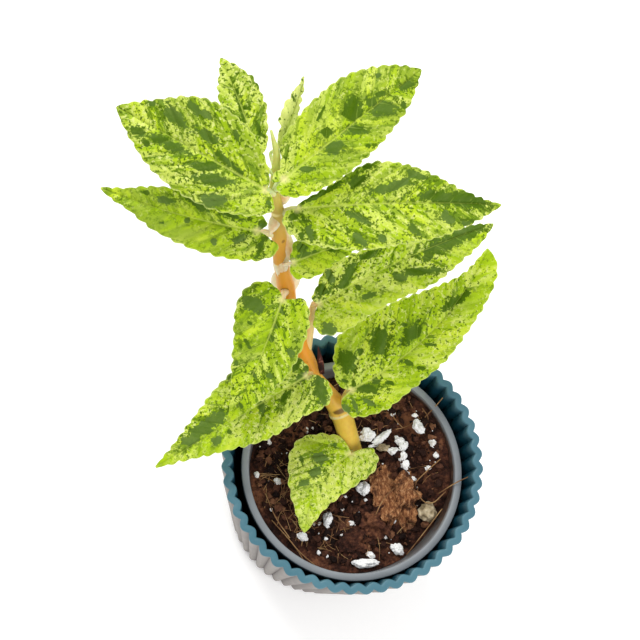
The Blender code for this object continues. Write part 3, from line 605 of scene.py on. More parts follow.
straw_curve = new_curve("straw_fibres", 1)
straw_curve.resolution_u = 6
for points in LONG_FIBRES:
    fibre_spline(straw_curve, points, 0.17)
for i in range(FIBRE_COUNT):
    if i % 2:
        x, y = on_soil(3.0)
    else:
        angle = math.radians(random_draw.uniform(175, 265))
        reach = random_draw.uniform(15, 27)
        x, y = NURSERY_CENTRE[0] + reach * math.cos(angle), reach * math.sin(angle)
    heading = random_draw.uniform(0, FULL_TURN)
    length = random_draw.uniform(2.0, 8.0)
    points = []
    for step in (-0.5, 0.0, 0.5):
        heading += random_draw.uniform(-0.4, 0.4)
        px = x + step * length * math.cos(heading)
        py = y + step * length * math.sin(heading)
        over = math.hypot(px - NURSERY_CENTRE[0], py) / FIBRE_REACH
        if over > 1:
            px, py = NURSERY_CENTRE[0] + (px - NURSERY_CENTRE[0]) / over, py / over
        points.append((px, py, soil_height(px, py) + random_draw.uniform(0.5, 1.4)))
    fibre_spline(straw_curve, points, random_draw.uniform(0.06, 0.14))
straw_fibres = make_mesh_piece("straw_fibres", straw_curve)

# Dry sedge: straw-coloured, faintly streaked and matte.
straw, tree, shader = start_material("dry_sedge_straw", 0.75, 1.45)
place = add(tree, "TexCoord", out="Object")
vary = add(tree, "TexNoise", {"Vector": place, "Scale": 140.0, "Detail": 3.0})  # 7 mm along a fibre
tone = add(tree, "ValToRGB", {0: vary}, [(0.35, "6b4930"), (0.5, "a07a52"), (0.65, "c9a878")])
finish_surface(tree, shader, tone)
straw_fibres.data.materials.append(straw)
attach(straw_fibres, "root")

# Stem
# One fleshy, water-filled stem leans out of the soil, jointed like a cane: each swollen ring is
# a node where a leaf grew. It is yellow ochre below, orange in the middle and pale at the top.

# x, y, z and radius
STEM_LINE = (
    (7.1, -4.5, 44, 2.6), (3.9, 0.9, 51, 3), (1.6, 5.3, 57, 3.2), (-0.9, 10.1, 62.5, 3.15),
    (-2.9, 13.7, 66.4, 3.2), (-3.9, 15.1, 67.8, 3.65), (-4.9, 16.1, 69, 3.1), (-7, 17.9, 71, 2.8),
    (-10, 20.1, 73.5, 2.7), (-13, 22.1, 76.2, 2.75), (-14.3, 23.2, 77.5, 3.1), (-14.9, 24.3, 78.6, 2.8),
    (-16.1, 26.6, 80.5, 2.7), (-19.3, 30.7, 86, 2.5), (-22.7, 36.3, 94, 2.3), (-24.6, 41.4, 99.5, 2.5),
    (-25.9, 43.9, 103, 2.15), (-27, 46.3, 106.5, 2.25), (-27.7, 48.5, 110, 1.95),
    (-28.5, 51.1, 114, 2.1), (-29, 53.1, 117, 1.8), (-29.6, 55.2, 120, 1.85), (-31.2, 58.6, 125.2, 1.5),
    (-31.5, 61.9, 129.5, 1.3), (-31.8, 65.7, 133.6, 1), (-33, 67.6, 137.1, 0.6), (-34, 69, 139.8, 0.3),
)

STEM_LEAN = Vector((-0.42, 0.62, 0.66))  # the way it grows
SWELL_SIZE, SWELL_RISE = 4.0, 0.10

# Brown leaf scars and pale node rings: x, y, z, reach round the stem and half height
STEM_MARKS = {
    "scar": ((-4.6, 14, 71.2, 2, 0.8), (-14.4, 21.6, 80.2, 1.4, 0.4), (-25.2, 40, 101.8, 1.2, 0.35)),
    "ring": ((-29.6, 55.2, 120, 4, 0.35), (-27, 46.3, 106.5, 4, 0.3), (-3.9, 15.1, 67.8, 6, 0.45)),
}


def line_through(points, parts):
    """Points on a smooth line through the given ones (Catmull-Rom), as rows of an array."""
    knots = np.array([points[0], *points, points[-1]], float)
    line = []
    for a, b, c, d in zip(knots, knots[1:], knots[2:], knots[3:]):
        for step in range(parts):
            t = step / parts
            square = 2 * a - 5 * b + 4 * c - d
            cube = 3 * b - a - 3 * c + d
            line.append(0.5 * (2 * b + (c - a) * t + square * t**2 + cube * t**3))
    line.append(knots[-1])
    return np.array(line)


def round_stalk(name, line, sides_level):
    """A closed round stalk along points of x, y, z and radius."""
    data = new_curve(name, sides_level)
    spline = data.splines.new("POLY")
    spline.points.add(len(line) - 1)
    for point, (x, y, z, radius) in zip(spline.points, line):
        point.co = (x * MM, y * MM, z * MM, 1)
        point.radius = radius
    return make_mesh_piece(name, data)


def let_light_in(shader, weight, reddening, depth):
    """Light goes that many millimetres into the tissue; red goes further than green and blue."""
    shader.inputs["Subsurface Weight"].default_value = weight
    shader.inputs["Subsurface Radius"].default_value = reddening
    shader.inputs["Subsurface Scale"].default_value = depth * MM


stem = round_stalk("fleshy_stem", line_through(STEM_LINE, 6), 10)
for vert in stem.data.vertices:
    swell = SWELL_RISE * noise.noise(vert.co / MM / SWELL_SIZE)
    vert.co += vert.normal * swell * MM
for key, marks in STEM_MARKS.items():
    marked = []
    for vert in stem.data.vertices:
        deepest = 0.0
        for x, y, z, reach, half in marks:
            away = vert.co / MM - Vector((x, y, z))
            along = away.dot(STEM_LEAN)
            deepest = max(deepest, math.exp(-((along / half) ** 2) - (away.length / reach) ** 4))
        marked.append(deepest)
    keep_values(stem.data, key, marked)

# Fleshy stem tissue: translucent under a waxy skin, so light reddens inside it. It has lengthwise
# streaks, brown specks, pale node rings and a few brown leaf scars.
stem_flesh, tree, shader = start_material("succulent_stem_tissue", 0.36, 1.42)
place = add(tree, "TexCoord", out="Object")
height = add(tree, "SeparateXYZ", {0: place}, out=2)
rise = add(tree, "MapRange", {0: height, 1: 0.055, 2: 0.14})
tone = add(
    tree, "ValToRGB", {0: rise},
    [
        (0.0, "e9cd5a"), (0.16, "ecca5a"), (0.26, "f0b84a"), (0.40, "e6962c"),
        (0.56, "dc9a38"), (0.68, "cf9c3c"), (0.78, "ccb45e"), (0.87, "c6c662"),
        (1.0, "d2e08c"),
    ],
)
leaning = add(tree, "Mapping", {0: place, "Rotation": (0.75, 0.3, 0.0), "Scale": (1.0, 1.0, 0.12)})
streak = add(tree, "TexNoise", {"Vector": leaning, "Scale": 1100.0, "Detail": 3.0})  # 0.9 mm streaks
shift = add(tree, "MapRange", {0: streak, 1: 0.35, 2: 0.75, 4: 0.25})
mixed = add(tree, "Mix", {0: shift, 6: tone, 7: "cf9a48"}, out=2, data_type="RGBA")
dots = add(tree, "TexNoise", {"Vector": place, "Scale": 420.0, "Detail": 1.0})  # 2.4 mm specks
speckled = add(tree, "MapRange", {0: dots, 1: 0.70, 2: 0.76, 4: 0.6})
marked = add(tree, "Mix", {0: speckled, 6: mixed, 7: "7a4a20"}, out=2, data_type="RGBA")
for key, colour in (("ring", "efe2a8"), ("scar", "573410")):
    deep = add(tree, "Attribute", out="Fac", attribute_name=key)
    deep = add(tree, "MapRange", {0: deep, 1: 0.15, 2: 0.6, 4: 0.8})
    marked = add(tree, "Mix", {0: deep, 6: marked, 7: colour}, out=2, data_type="RGBA")
let_light_in(shader, 0.25, (1.0, 0.45, 0.12), 1.5)
finish_surface(tree, shader, marked, streak, 0.15, 0.2)
stem.data.materials.append(stem_flesh)
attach(stem, "root")
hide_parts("stem")

# Leaves
# Twelve leaves grow alternately from the nodes, on short fleshy stalks. Each blade is lopsided,
# toothed and quilted between its side veins, mottled lime, cream and green, with dark blotches.

BLADE_THICKNESS = 0.5
TOOTH_PITCH, TOOTH_DEPTH = 3.0, 0.62
TOOTH_ROWS = 8  # of the blade's grid to a tooth
COLUMNS = 48
EDGE_RIPPLE = 0.35
VEIN_SLOPE, VEIN_CURVE = 0.95, 0.03  # how far a side vein runs ahead as it goes outwards
VEIN_HALF = 0.35
FAN_STEP = 0.6  # radians between the veins that fan out behind the first one
QUILT_RISE, VEIN_SINK, MIDRIB_SINK = 0.42, 0.22, 0.42
BLOTCH_GROWTH = 1.1, 1.15  # lengthwise and across, as ragged edges eat into a blotch

# Each leaf: name, base, tip, facing, sideways bow, arch, fold, outline on its right and left as
# (along, away) in millimetres, foot of its stalk and the radius there, and its dark blotches as
# (along, across, half length, half width, turn, greyness), where -1 makes it a plain patch. The
# greyness is partly the blotch's own tone and partly painted sheen.
LEAVES = (
    (
        "leaf_soil", (0.1, 3.1, 64), (-13.8, -20.8, 64.5), (-0.2, -0.3, 1), -3.4, 1.5, 0.1,
        ((-1.5, 2.5), (-2.6, 5.8), (-0.5, 10.2), (4, 15), (10, 15.6), (16.5, 12.4), (21, 8.6), (26, 3)),
        ((-3, 2.2), (-4.8, 4.8), (-2.8, 7.6), (1.5, 8.4), (9, 5.4), (18, 1.9), (24, 0.9)),
        (0.5, 7.5, 59.5, 1.2),
        (
            (6.8, -7.6, 2.5, 1.8, -50, 0.9), (11.1, -5.9, 2.3, 1.5, -20, 0.9),
            (15.7, -7.2, 1.8, 1, -45, 0.8), (10.3, -11.7, 1.2, 0.5, 65, 0.4),
            (0.5, -5.5, 0.8, 0.6, 55, 0.5), (5, -11.5, 5, 2.4, -50, -1),
        ),
    ),
    (
        "leaf_low_left", (-16.5, 20.2, 85.5), (-57.8, -6.3, 78), (-0.2, -0.3, 1), 0, 2.5, 0.12,
        ((-1.6, 2.2), (-1, 4.8), (1.6, 7.6), (8, 10.6), (16, 11.8), (24, 10.2), (33, 6.6), (42, 2.9)),
        (
            (-3.2, 2), (-4.2, 5.2), (-3.2, 8.5), (0.6, 10.2), (6, 9.4), (12, 9.6), (20, 9.4), (32, 5.9),
            (42, 2.6),
        ),
        (-14.5, 23.3, 77.8, 1.6),
        (
            (-1, 5.4, 4, 2, 70, 0.5), (1.1, -4.7, 1.8, 1.7, -10, 0.1), (-0.7, -2.1, 1, 0.8, 60, 0.4),
            (1.7, -0.4, 2.1, 1.3, -10, 0.6), (15.8, 1.3, 2, 0.9, 75, 0.6),
            (31.6, -2.5, 7.4, 1.9, 5, 0.6), (37.9, -1.4, 2.7, 1.5, -15, 0.9),
            (31.6, 2.4, 1.3, 1.3, 90, 0.8), (19.5, -11.6, 1.3, 1, 20, 0.5),
            (27.3, 2.3, 0.7, 0.7, -5, 0.4), (9.2, 2.1, 2.6, 0.7, 20, 0.1), (30, 6, 9, 2, -10, -1),
        ),
    ),
    (
        "leaf_front", (-26.3, 35.7, 105.5), (-38.8, 4.8, 89), (-0.1, -0.55, 1), 0.8, 2, 0.12,
        ((-1.8, 2), (-2.8, 5.6), (-0.8, 9.2), (3.6, 11), (9.4, 10.2), (15, 7.9), (22, 5.5), (30, 2.2)),
        ((-1, 2.6), (-2.4, 4.8), (-0.6, 7.6), (4, 9.6), (10, 10.2), (18, 9.6), (24.6, 7.1), (31, 4.1)),
        (-24.5, 41.1, 99.2, 1.4),
        (
            (4.3, -7, 3.3, 1.9, -85, 0.5), (10.9, 1.2, 1.2, 0.8, 65, 0.4),
            (9.2, -5.6, 0.7, 0.4, 85, 0.3), (7.3, 1, 0.7, 0.6, 70, 0.3), (3, 1.2, 1.1, 0.5, 50, 0.8),
            (14.3, -4.5, 1.9, 0.4, 55, 0.3), (12.3, 8.2, 1.3, 0.8, 70, 0.6),
            (20.3, 5.1, 1.1, 0.8, 80, 0.6), (22, 1.3, 1.4, 0.6, 50, 0.7),
            (20.8, -4.6, 0.9, 0.7, 55, 0.5), (16, -5.4, 1, 0.5, 40, 0.3),
            (31.1, 1.1, 1.2, 0.5, 55, 0.5), (9.5, -0.5, 4.5, 1.2, 0, -1),
        ),
    ),
    (
        "leaf_low_right", (-2.6, 18.6, 79), (35.2, 58.7, 96), (-0.1, -0.4, 1), -4.8, 2, 0.12,
        (
            (-4.2, 0.3), (-5.6, 2.3), (-5.4, 5.2), (-3.2, 7.9), (3, 11.2), (10, 12.2), (18, 13),
            (26, 13.6), (34, 12.6), (44, 10.8), (52, 8.1), (56.6, 4.6),
        ),
        ((-1.4, 3.6), (0.6, 7.6), (5.4, 12), (10, 13.9), (17, 12.4), (25.5, 9.8), (34, 5.8), (46, 0.6)),
        (-3.4, 15, 67.4, 1.7),
        (
            (5.2, 6.6, 3.6, 2.5, 75, 0), (15.7, 3.8, 4.4, 2.9, 40, 0), (23.7, -0.8, 4.1, 1.9, 0, 0),
            (39.5, -3.4, 4.9, 1.3, -15, 0), (17.2, -6.1, 2.2, 0.8, -60, 0.1),
            (3.8, -3.4, 3.5, 1.2, -50, 0.2), (7, -3.2, 1.5, 0.9, -70, 0.2),
            (1.9, 0.7, 1.2, 0.6, 55, 0.1), (9.2, -6.3, 1.4, 0.5, -55, 0.2),
            (1.1, -6.1, 1.9, 0.9, -70, 0.9), (-2.6, -4.2, 2, 0.7, 65, 0.8), (-5, -3, 1.8, 1.1, 65, 1),
            (0.6, 3.3, 1, 0.5, -75, 0.1), (9.9, 6.3, 1.5, 0.8, 20, 0.1),
            (18.9, -10.2, 1.7, 0.6, -60, 0.2), (25.5, -7.1, 1.7, 0.4, -50, 0.3),
            (24.3, 2.4, 1.5, 0.5, -50, 0.1), (45, -6.8, 6.7, 2.4, 0, -1),
        ),
    ),
    (
        "leaf_mid_right", (-15, 37.7, 98), (34.1, 62.2, 106), (-0.1, -0.5, 1), 1.8, 2, 0.1,
        (
            (-2.2, 2.2), (-3.8, 5.2), (-2.2, 8.6), (3.6, 9.8), (11, 8.8), (19, 7.9), (27, 8), (34, 7.7),
            (42, 5.6), (50, 3.1),
        ),
        ((-1.2, 2.6), (1.2, 4.6), (4.6, 7.6), (10, 9.2), (18, 8.8), (28, 7), (38, 4.2), (48, 2.8)),
        (-16.5, 27.1, 81, 1.7),
        (
            (2, 3.1, 1.9, 1.6, 45, 0), (5.8, 6, 2.6, 0.9, 85, 0.9), (10.5, 4.3, 5, 1.3, 35, 0.1),
            (17.4, 7, 2.7, 0.9, 0, 0.3), (43.4, 0.9, 11.9, 2.1, 0, 0.4),
            (45.6, 2.2, 3.4, 0.9, -20, 0.8), (30.5, -3.4, 5.1, 1.1, -20, 0.3),
            (33.6, -0.2, 2.8, 1.1, 15, 0.3), (23.5, -2.2, 1.9, 1.1, -45, 0.4),
            (-0.8, -7.6, 2.8, 2.1, -25, 0.9), (12, -0.2, 1.3, 0.7, -60, 0.2),
            (13.7, -3.3, 2.6, 0.9, -10, 0.4),
        ),
    ),
    (
        "leaf_long_right", (-25.1, 54.3, 125), (31.7, 61, 122), (0, -0.35, 1), 0.8, 3, 0.12,
        (
            (-3, 0.9), (-4.1, 2.8), (-3.4, 5.2), (-1.2, 7.4), (2.6, 9.4), (9, 10.8), (17.6, 11.4),
            (26, 10.4), (37, 8.8), (45, 6.2), (51.5, 3.3),
        ),
        ((1.2, 1.7), (7.8, 5.2), (14, 9.2), (21, 11.8), (31, 10.6), (40, 6.8), (46, 3.8), (52, 1.5)),
        (-29.4, 54.9, 119.6, 1.1),
        (
            (15.7, 6.8, 2.5, 1.3, 20, 0), (19.1, 10.7, 1.7, 0.8, 10, 0.1),
            (25.5, 5.3, 6.4, 1.2, 15, 0.6), (44, 1.6, 11.2, 2, -5, 0.2), (31.8, 8, 3, 1, -25, 0.5),
            (15.7, -2.8, 3.6, 1, -25, 0.7), (-1, -1.9, 1.4, 0.9, 40, 0.1),
            (1.6, -2.7, 1, 0.4, -75, 0.1), (3, -6.4, 2.1, 0.8, -75, 0.9), (16, -8.8, 2.8, 1, -45, 0.9),
            (30.9, -6.5, 2.2, 0.9, -40, 0.7), (40.7, -3.3, 2.3, 1.4, -20, 0.8),
            (46.2, -4.9, 1.9, 0.8, 5, 0.5), (21.8, -8.3, 1.2, 0.7, -35, 0.9),
            (0.7, -7.1, 0.9, 0.7, -70, 0.4), (7.4, 4.2, 6.6, 0.7, 25, 0.1), (6, 3, 6, 1.4, 20, -1),
        ),
    ),
    (
        "leaf_hidden_right", (-24.3, 44.1, 112), (-3.3, 53.7, 111), (0.1, -0.4, 1), 0.4, 1, 0.1,
        ((-1.4, 1.2), (-1.2, 3.6), (2.2, 5.3), (6, 5.2), (10.5, 3.9), (18, 2.2)),
        ((-0.5, 1.5), (0.9, 3.5), (3.6, 6), (10, 5.8), (16, 3.6), (20, 1.8)),
        (-26.9, 46.1, 106.2, 0.9),
        ((4, 1, 3.6, 0.8, -5, 0.2), (11, 0, 1.5, 0.6, -25, 0.2), (3, 3.4, 1.6, 1.4, -40, 0.3)),
    ),
    (
        "leaf_mid_left", (-35, 49.8, 119), (-76.6, 58.6, 120), (-0.1, -0.45, 1), 1.2, 2.5, 0.1,
        ((-1.4, 1.4), (-2, 3), (1.6, 4.6), (8, 6.2), (15, 6.6), (22, 5.6), (29.5, 4), (36.5, 1.6)),
        (
            (-3.6, 1.2), (-6.2, 2.4), (-6.4, 4.6), (-2.6, 7.4), (4, 8.9), (12, 9.2), (18, 8.7),
            (26.7, 6.8), (33, 4), (39.5, 1.7),
        ),
        (-28.5, 51.3, 114.2, 1.2),
        (
            (25.2, -1.4, 2.6, 1, 5, 0.7), (16.9, -2.8, 3.3, 1.1, -5, 0.4),
            (-1.1, -1.6, 1.1, 0.9, -75, 0.7), (3.8, 3.3, 2.3, 0.9, 35, 0.9),
            (-1.9, 4.1, 2.4, 0.6, 85, 0.1), (18.5, 2.3, 0.8, 0.7, 15, 0.6), (10.4, 5.6, 1, 0.7, 0, 0.9),
            (24.9, 4.6, 0.8, 0.4, 15, 0.4), (8, -2.1, 2.2, 0.7, 0, 0.2), (30.7, -1.9, 1.6, 0.5, 5, 0.4),
            (17, 5.6, 12, 1.8, 0, -1),
        ),
    ),
    (
        "leaf_top_left", (-34, 56.6, 130.5), (-73.4, 74.3, 136), (-0.1, -0.45, 1), 0, 2, 0.12,
        (
            (0.4, 2.4), (2.4, 5.2), (8, 9.8), (14, 12.2), (21, 13.2), (26, 12.4), (30, 10.4),
            (36.5, 5.8), (41, 2.5),
        ),
        (
            (-2.6, 1.4), (-4.2, 3.4), (-1.6, 6.8), (4, 9.4), (10, 11.2), (17, 11.6), (23, 11),
            (29, 9.4), (34, 7), (40, 3.2),
        ),
        (-31.1, 58.3, 125.2, 1.1),
        (
            (29.2, -5, 4.2, 1.5, -15, 0.7), (26, -9.1, 2, 1, -30, 0.5), (22.4, -9.3, 1.9, 0.8, 5, 0.9),
            (19.9, -4.7, 3.4, 1.1, -5, 0.5), (35.7, 3, 2.6, 1, 25, 0.3), (26.8, 1.9, 5.3, 1.1, 5, 0.3),
            (16.5, 2.4, 5.3, 1, 25, 0.3), (13.3, 4.3, 5.4, 1.4, 20, 0.4), (10.7, 9, 3.9, 1.5, 25, 0.9),
            (13.5, -8.5, 1.4, 0.6, -40, 0.3), (36, -5.1, 1.1, 0.6, 10, 0.4),
            (12, -1.5, 4.7, 0.6, -10, 0.3), (-2.1, 2.7, 1.4, 0.6, -40, 0.4),
            (32.6, 4.4, 1.3, 0.6, -10, 0.3), (9, 0.3, 1.4, 0.4, 5, 0.2),
        ),
    ),
    (
        "leaf_top_right", (-29.6, 58.9, 133), (6.4, 92.2, 137), (0, -0.3, 1), 0, 2, 0.12,
        (
            (-3.4, 0.9), (-3.3, 2.7), (-0.9, 5.5), (4.5, 7.8), (13, 9.2), (21, 9.1), (28.5, 8.2),
            (38, 6), (44.5, 2.9),
        ),
        (
            (-3, 1.3), (-1.8, 2.5), (0.9, 2.8), (3.3, 5.2), (4.8, 7.2), (7.2, 8.8), (12.5, 10.2),
            (20, 11.2), (28.5, 11.2), (37, 8.8), (44.5, 4.4),
        ),
        (-31.3, 58.9, 126.2, 1.1),
        (
            (25.5, 3, 3.2, 2.4, 0, 0), (31.2, 1.8, 1.8, 1.3, 0, 0.4), (16.1, 2.6, 1.7, 1.4, -15, 0.1),
            (32.9, -2, 3.2, 2.1, -25, 0.5), (23.2, -1.9, 2.8, 1.2, -45, 0.2),
            (15.4, -2.2, 2.8, 1.5, -20, 0.4), (42.8, -1.1, 2.3, 1, -20, 0.3),
            (34.8, 1.7, 1.5, 0.7, -20, 0.2), (37.3, 5.7, 0.8, 0.8, -10, 0.5),
            (18, 7.1, 2.8, 0.3, 25, 0.1), (5.9, -1.8, 2.3, 0.8, -40, 0.2),
            (37.9, -4.2, 0.9, 0.7, 65, 0.2), (22.5, -7, 0.7, 0.5, -40, 0.2),
        ),
    ),
    (
        "leaf_young_left", (-36.3, 65.2, 133), (-47.3, 91.1, 136), (0.1, -0.4, 1), 0, 1.5, 0.15,
        (
            (0.4, 1.6), (2.2, 3), (5.4, 4.2), (10.5, 5.9), (14.5, 6.2), (18.6, 5.9), (21.5, 4.9),
            (25.5, 2.2),
        ),
        ((3, 1.3), (7, 2.6), (11, 4.2), (15, 5), (19, 4.4), (23, 2.6), (26, 1.1)),
        (-31.5, 61.3, 130, 0.7),
        (
            (13.5, 0.2, 4.7, 0.7, -5, 0.1), (17.9, -6.1, 2.7, 0.5, 5, 0.1),
            (13.5, -6.6, 1.2, 0.4, 5, 0.1), (5.7, -2.2, 1.9, 0.5, 0, 0.1),
            (13, -0.8, 1.6, 0.5, 40, 0.1),
        ),
    ),
    (
        "leaf_folded", (-31.2, 68, 131.4), (-25.1, 87.3, 136.4), (0.6, -0.3, 0.8), 0, 0.8, 0.22,
        ((2, 1.4), (6, 2), (10, 1.6), (13.5, 1), (17, 0.7)),
        ((2, 1.4), (4.6, 2.3), (7.2, 3.7), (9.8, 4), (12.8, 3.3), (16, 2.2), (18.5, 1.2)),
        (-31.5, 61.5, 130.4, 0.6),
        (
            (7, 3.7, 0.5, 0.3, 50, 0.2), (13.9, 2.4, 1.1, 0.4, 70, 0.2),
            (19.5, 1.5, 1.2, 0.3, -65, 0.2), (4.9, 0, 0.9, 0.3, 65, 0.1),
        ),
    ),
)


def leaf_axes(base, tip, facing):
    """The leaf's own frame: where it starts, its three directions and its length."""
    start = np.array(base)
    along = np.array(tip) - start
    length = np.linalg.norm(along)
    along /= length
    up = np.array(facing, float)
    up -= along * (up @ along)
    up /= np.linalg.norm(up)
    return start, along, np.cross(up, along), up, length


def toothed_edge(outline, length, rows):
    """One margin from stalk to tip: rounded teeth that lean forward, each cut back behind."""
    angle = math.atan2(outline[0][1], outline[0][0]) + math.radians(12)
    half = min(0.9, length / 50)
    first = (half * math.cos(angle), half * math.sin(angle))
    line = line_through([first, *outline, (length, 0.12)], 12)
    run = np.concatenate([[0], np.cumsum(np.linalg.norm(np.diff(line, axis=0), axis=1))])
    goal = np.linspace(0, run[-1], rows + 1)
    edge = np.stack([np.interp(goal, run, line[:, 0]), np.interp(goal, run, line[:, 1])], 1)
    slope = np.gradient(edge, axis=0)
    slope /= np.linalg.norm(slope, axis=1, keepdims=True)
    place = np.arange(rows + 1) / TOOTH_ROWS
    cycle = place % 1
    tooth = np.sin(math.pi * cycle**1.5) - 0.55
    size = TOOTH_DEPTH * (0.8 + 0.35 * np.sin(place * 2.3 + length))
    fade = np.clip(np.minimum(place / 2, (rows / TOOTH_ROWS - place) / 1.5), 0, 1)
    push = tooth * size * fade
    edge[:, 0] -= slope[:, 1] * push
    edge[:, 1] += slope[:, 0] * push
    return edge


def lay_blotches(a, b, blotches):
    """How deep each point lies in a dark blotch, how grey that is, and how deep in a plain patch."""
    depth = np.full(a.shape, -2.0)
    grey = np.zeros(a.shape)
    plain = np.zeros(a.shape)
    for middle, aside, long_half, short_half, turn, greyness in blotches:
        c, s = math.cos(math.radians(turn)), math.sin(math.radians(turn))
        along_it = ((a - middle) * c + (b - aside) * s) / (long_half * BLOTCH_GROWTH[0])
        across_it = (-(a - middle) * s + (b - aside) * c) / (short_half * BLOTCH_GROWTH[1])
        here = 1 - np.sqrt(along_it**2 + across_it**2)
        if greyness < 0:
            plain = np.maximum(plain, here)
        else:
            grey = np.where(here > depth, greyness, grey)
            depth = np.maximum(depth, here)
    return depth, grey, plain


def make_leaf(name, base, tip, facing, bow, arch, fold, right, left, blotches):
    """The blade as a grid laid between its two margins, with what its tissue reads from it."""
    start, along, side, up, length = leaf_axes(base, tip, facing)
    rows = TOOTH_ROWS * max(5, round(length * 1.15 / TOOTH_PITCH))
    # the rows start closer together at the stalk where a margin reaches back behind it
    sweep = 0.7 - 0.3 * sum(edge[0][0] > 0 for edge in (right, left))
    right_edge = toothed_edge(right, length, rows) * (1, -1)
    left_edge = toothed_edge(left, length, rows)
    share = np.linspace(0, 1, rows + 1)
    rib_along = length * (share * (1 - sweep) + share**2 * sweep)
    rib_aside = bow * 4 * (rib_along / length) * (1 - rib_along / length)
    rib = np.stack([rib_along, rib_aside], 1)
    across = np.linspace(1, -1, COLUMNS + 1)
    width = np.abs(across)[None, :, None]
    edge = np.where(across[None, :, None] < 0, right_edge[:, None, :], left_edge[:, None, :])
    flat = rib[:, None, :] * (1 - width) + edge * width
    a, b = flat[..., 0], flat[..., 1]
    t = np.clip(a / length, 0, 1)
    off = b - bow * 4 * t * (1 - t)
    away = np.abs(off)
    lift = arch * 4 * t * (1 - t) + fold * away * (1.2 - 0.9 * width[..., 0])
    k = share[:, None]
    lift = lift + EDGE_RIPPLE * width[..., 0] ** 2 * np.sin(k * 31) * np.minimum(1, 4 * k)

    # Side veins leave the midrib about 6 mm apart and curve forward; behind the first one they fan
    # out from the stalk. The blade is quilted between them.
    vein_gap = max(3.2, length / 9)
    ahead = a - VEIN_SLOPE * away - VEIN_CURVE * away**2
    reach = np.hypot(a, off)
    fan = np.arctan2(away, a) - np.arctan2(1.0, VEIN_SLOPE + VEIN_CURVE * away)
    in_fan = ahead < 0
    stagger = np.where(off > 0, 0.5 * vein_gap, 0)
    phase = np.where(in_fan, -fan / FAN_STEP, (ahead + stagger) / vein_gap)
    step = np.where(in_fan, FAN_STEP * reach, 0.7 * vein_gap)
    vein_off = np.abs((phase + 0.5) % 1 - 0.5) * step
    vein = np.exp(-((vein_off / VEIN_HALF) ** 2)) * np.clip(1.15 - width[..., 0], 0, 1)
    midrib = np.exp(-((away / (0.34 + 0.4 * (1 - k))) ** 2))
    quilt = np.sin(math.pi * np.clip(vein_off / (0.35 * vein_gap), 0, 1) / 2)
    room = np.clip(away / 2.5, 0, 1) * np.clip((1 - width[..., 0]) * 5, 0, 1) * np.clip(reach / 4, 0, 1)
    lift = lift + QUILT_RISE * quilt * room - VEIN_SINK * vein * room - MIDRIB_SINK * midrib
    spots = start + a[..., None] * along + b[..., None] * side + lift[..., None] * up

    bpy.ops.object.select_all(action="DESELECT")
    bpy.ops.mesh.primitive_grid_add(x_subdivisions=COLUMNS, y_subdivisions=rows, size=1, calc_uvs=True)
    leaf = start_piece("blade_of_" + name)
    mesh = leaf.data
    mesh.vertices.foreach_set("co", (spots.reshape(-1, 3) * MM).ravel())
    corner = np.zeros(len(mesh.loops), int)
    mesh.loops.foreach_get("vertex_index", corner)
    # Two maps in decimetres: the flat blade, and the same opened out along its side veins
    mesh.uv_layers.remove(mesh.uv_layers[0])
    maps = {"blade": (a + 15, b + 50), "veins": (np.where(in_fan, -fan * reach, ahead) + 25, off + 50)}
    for key, (u, v) in maps.items():
        uv = np.stack([u.ravel(), v.ravel()], 1)[corner] / 100
        mesh.uv_layers.new(name=key).uv.foreach_set("vector", uv.ravel())
    depth, grey, plain = lay_blotches(a, b, blotches)
    values = {
        "blotch": depth, "grey": grey, "vein": vein, "midrib": midrib * (1 - 0.3 * t),
        "rim": width[..., 0] + 0 * a, "near_rib": np.exp(-away / 3.5) * (1.2 - t) + np.exp(-reach / 9),
        "joint": np.exp(-((reach / 1.3) ** 2)), "tip": t, "plain": plain,
    }
    for key, value in values.items():
        keep_values(mesh, key, np.broadcast_to(value, a.shape).ravel().astype(np.float32))
    mesh.update()
    return leaf, (start, along, side, up, length, bow, arch)


def thicken(piece, thickness, slots_on=0):
    """Gives a sheet its thickness; its back takes the material that many slots on."""
    wall = piece.modifiers.new("thickness", "SOLIDIFY")
    wall.thickness = thickness * MM
    wall.offset = 0
    wall.material_offset = slots_on
    pick_only(piece)
    bpy.ops.object.modifier_apply(modifier="thickness")


def make_stalk(name, stalk, axes):
    """The leaf's fleshy stalk, which bends in under the blade and runs on as its midrib."""
    start, along, side, up, length, bow, arch = axes
    thick = min(0.95, length / 45)
    *root, root_radius = stalk
    root = np.array(root)
    joint = start - up * (0.32 + 0.95 * thick)
    knee = joint - up * 1.7 - along * 1.2
    middle = root * 0.45 + knee * 0.55 - np.array((0, 0, 0.4))
    between = (root_radius + thick) / 2
    points = [(*root, root_radius), (*middle, between), (*knee, thick), (*joint, thick)]
    for t in (0.08, 0.2, 0.4, 0.6, 0.8):
        radius = thick * (0.95 - t) * 0.75 + 0.08
        rib = start + along * length * t + side * bow * 4 * t * (1 - t)
        rib += up * (arch * 4 * t * (1 - t) - 0.62 - 0.6 * radius)
        points.append((*rib, radius))
    return round_stalk("stalk_of_" + name, line_through(points, 6), 4)


# Leaf tissue: a semi-gloss, slightly succulent skin. It is a patchwork of cell layers, so cream,
# lime and three greens lie in ragged flecks from half a millimetre up, drawn out along the veins.

# Each layer over the lime ground: what it is, whether it follows the veins, size in mm, detail,
# roughness, the noise value it starts from, softness of its edge, strength, and colour.
LEAF_LAYERS = (
    ("drift", True, 7.0, 2.0, 0.6, 0.47, 0.12, 0.8, "96ac3c"),
    ("cream", True, 5.5, 4.0, 0.65, 0.52, 0.06, 0.75, "d0dc6e"),
    ("cream", False, 1.3, 4.0, 0.7, 0.565, 0.05, 0.65, "e0e498"),
    ("green", False, 0.9, 3.0, 0.7, 0.54, 0.05, 0.7, "849e28"),
    ("green", True, 2.4, 6.0, 0.72, 0.565, 0.02, 0.9, "698816"),
    ("specks", False, 0.9, 4.0, 0.66, 0.585, 0.015, 0.92, "557010"),
)


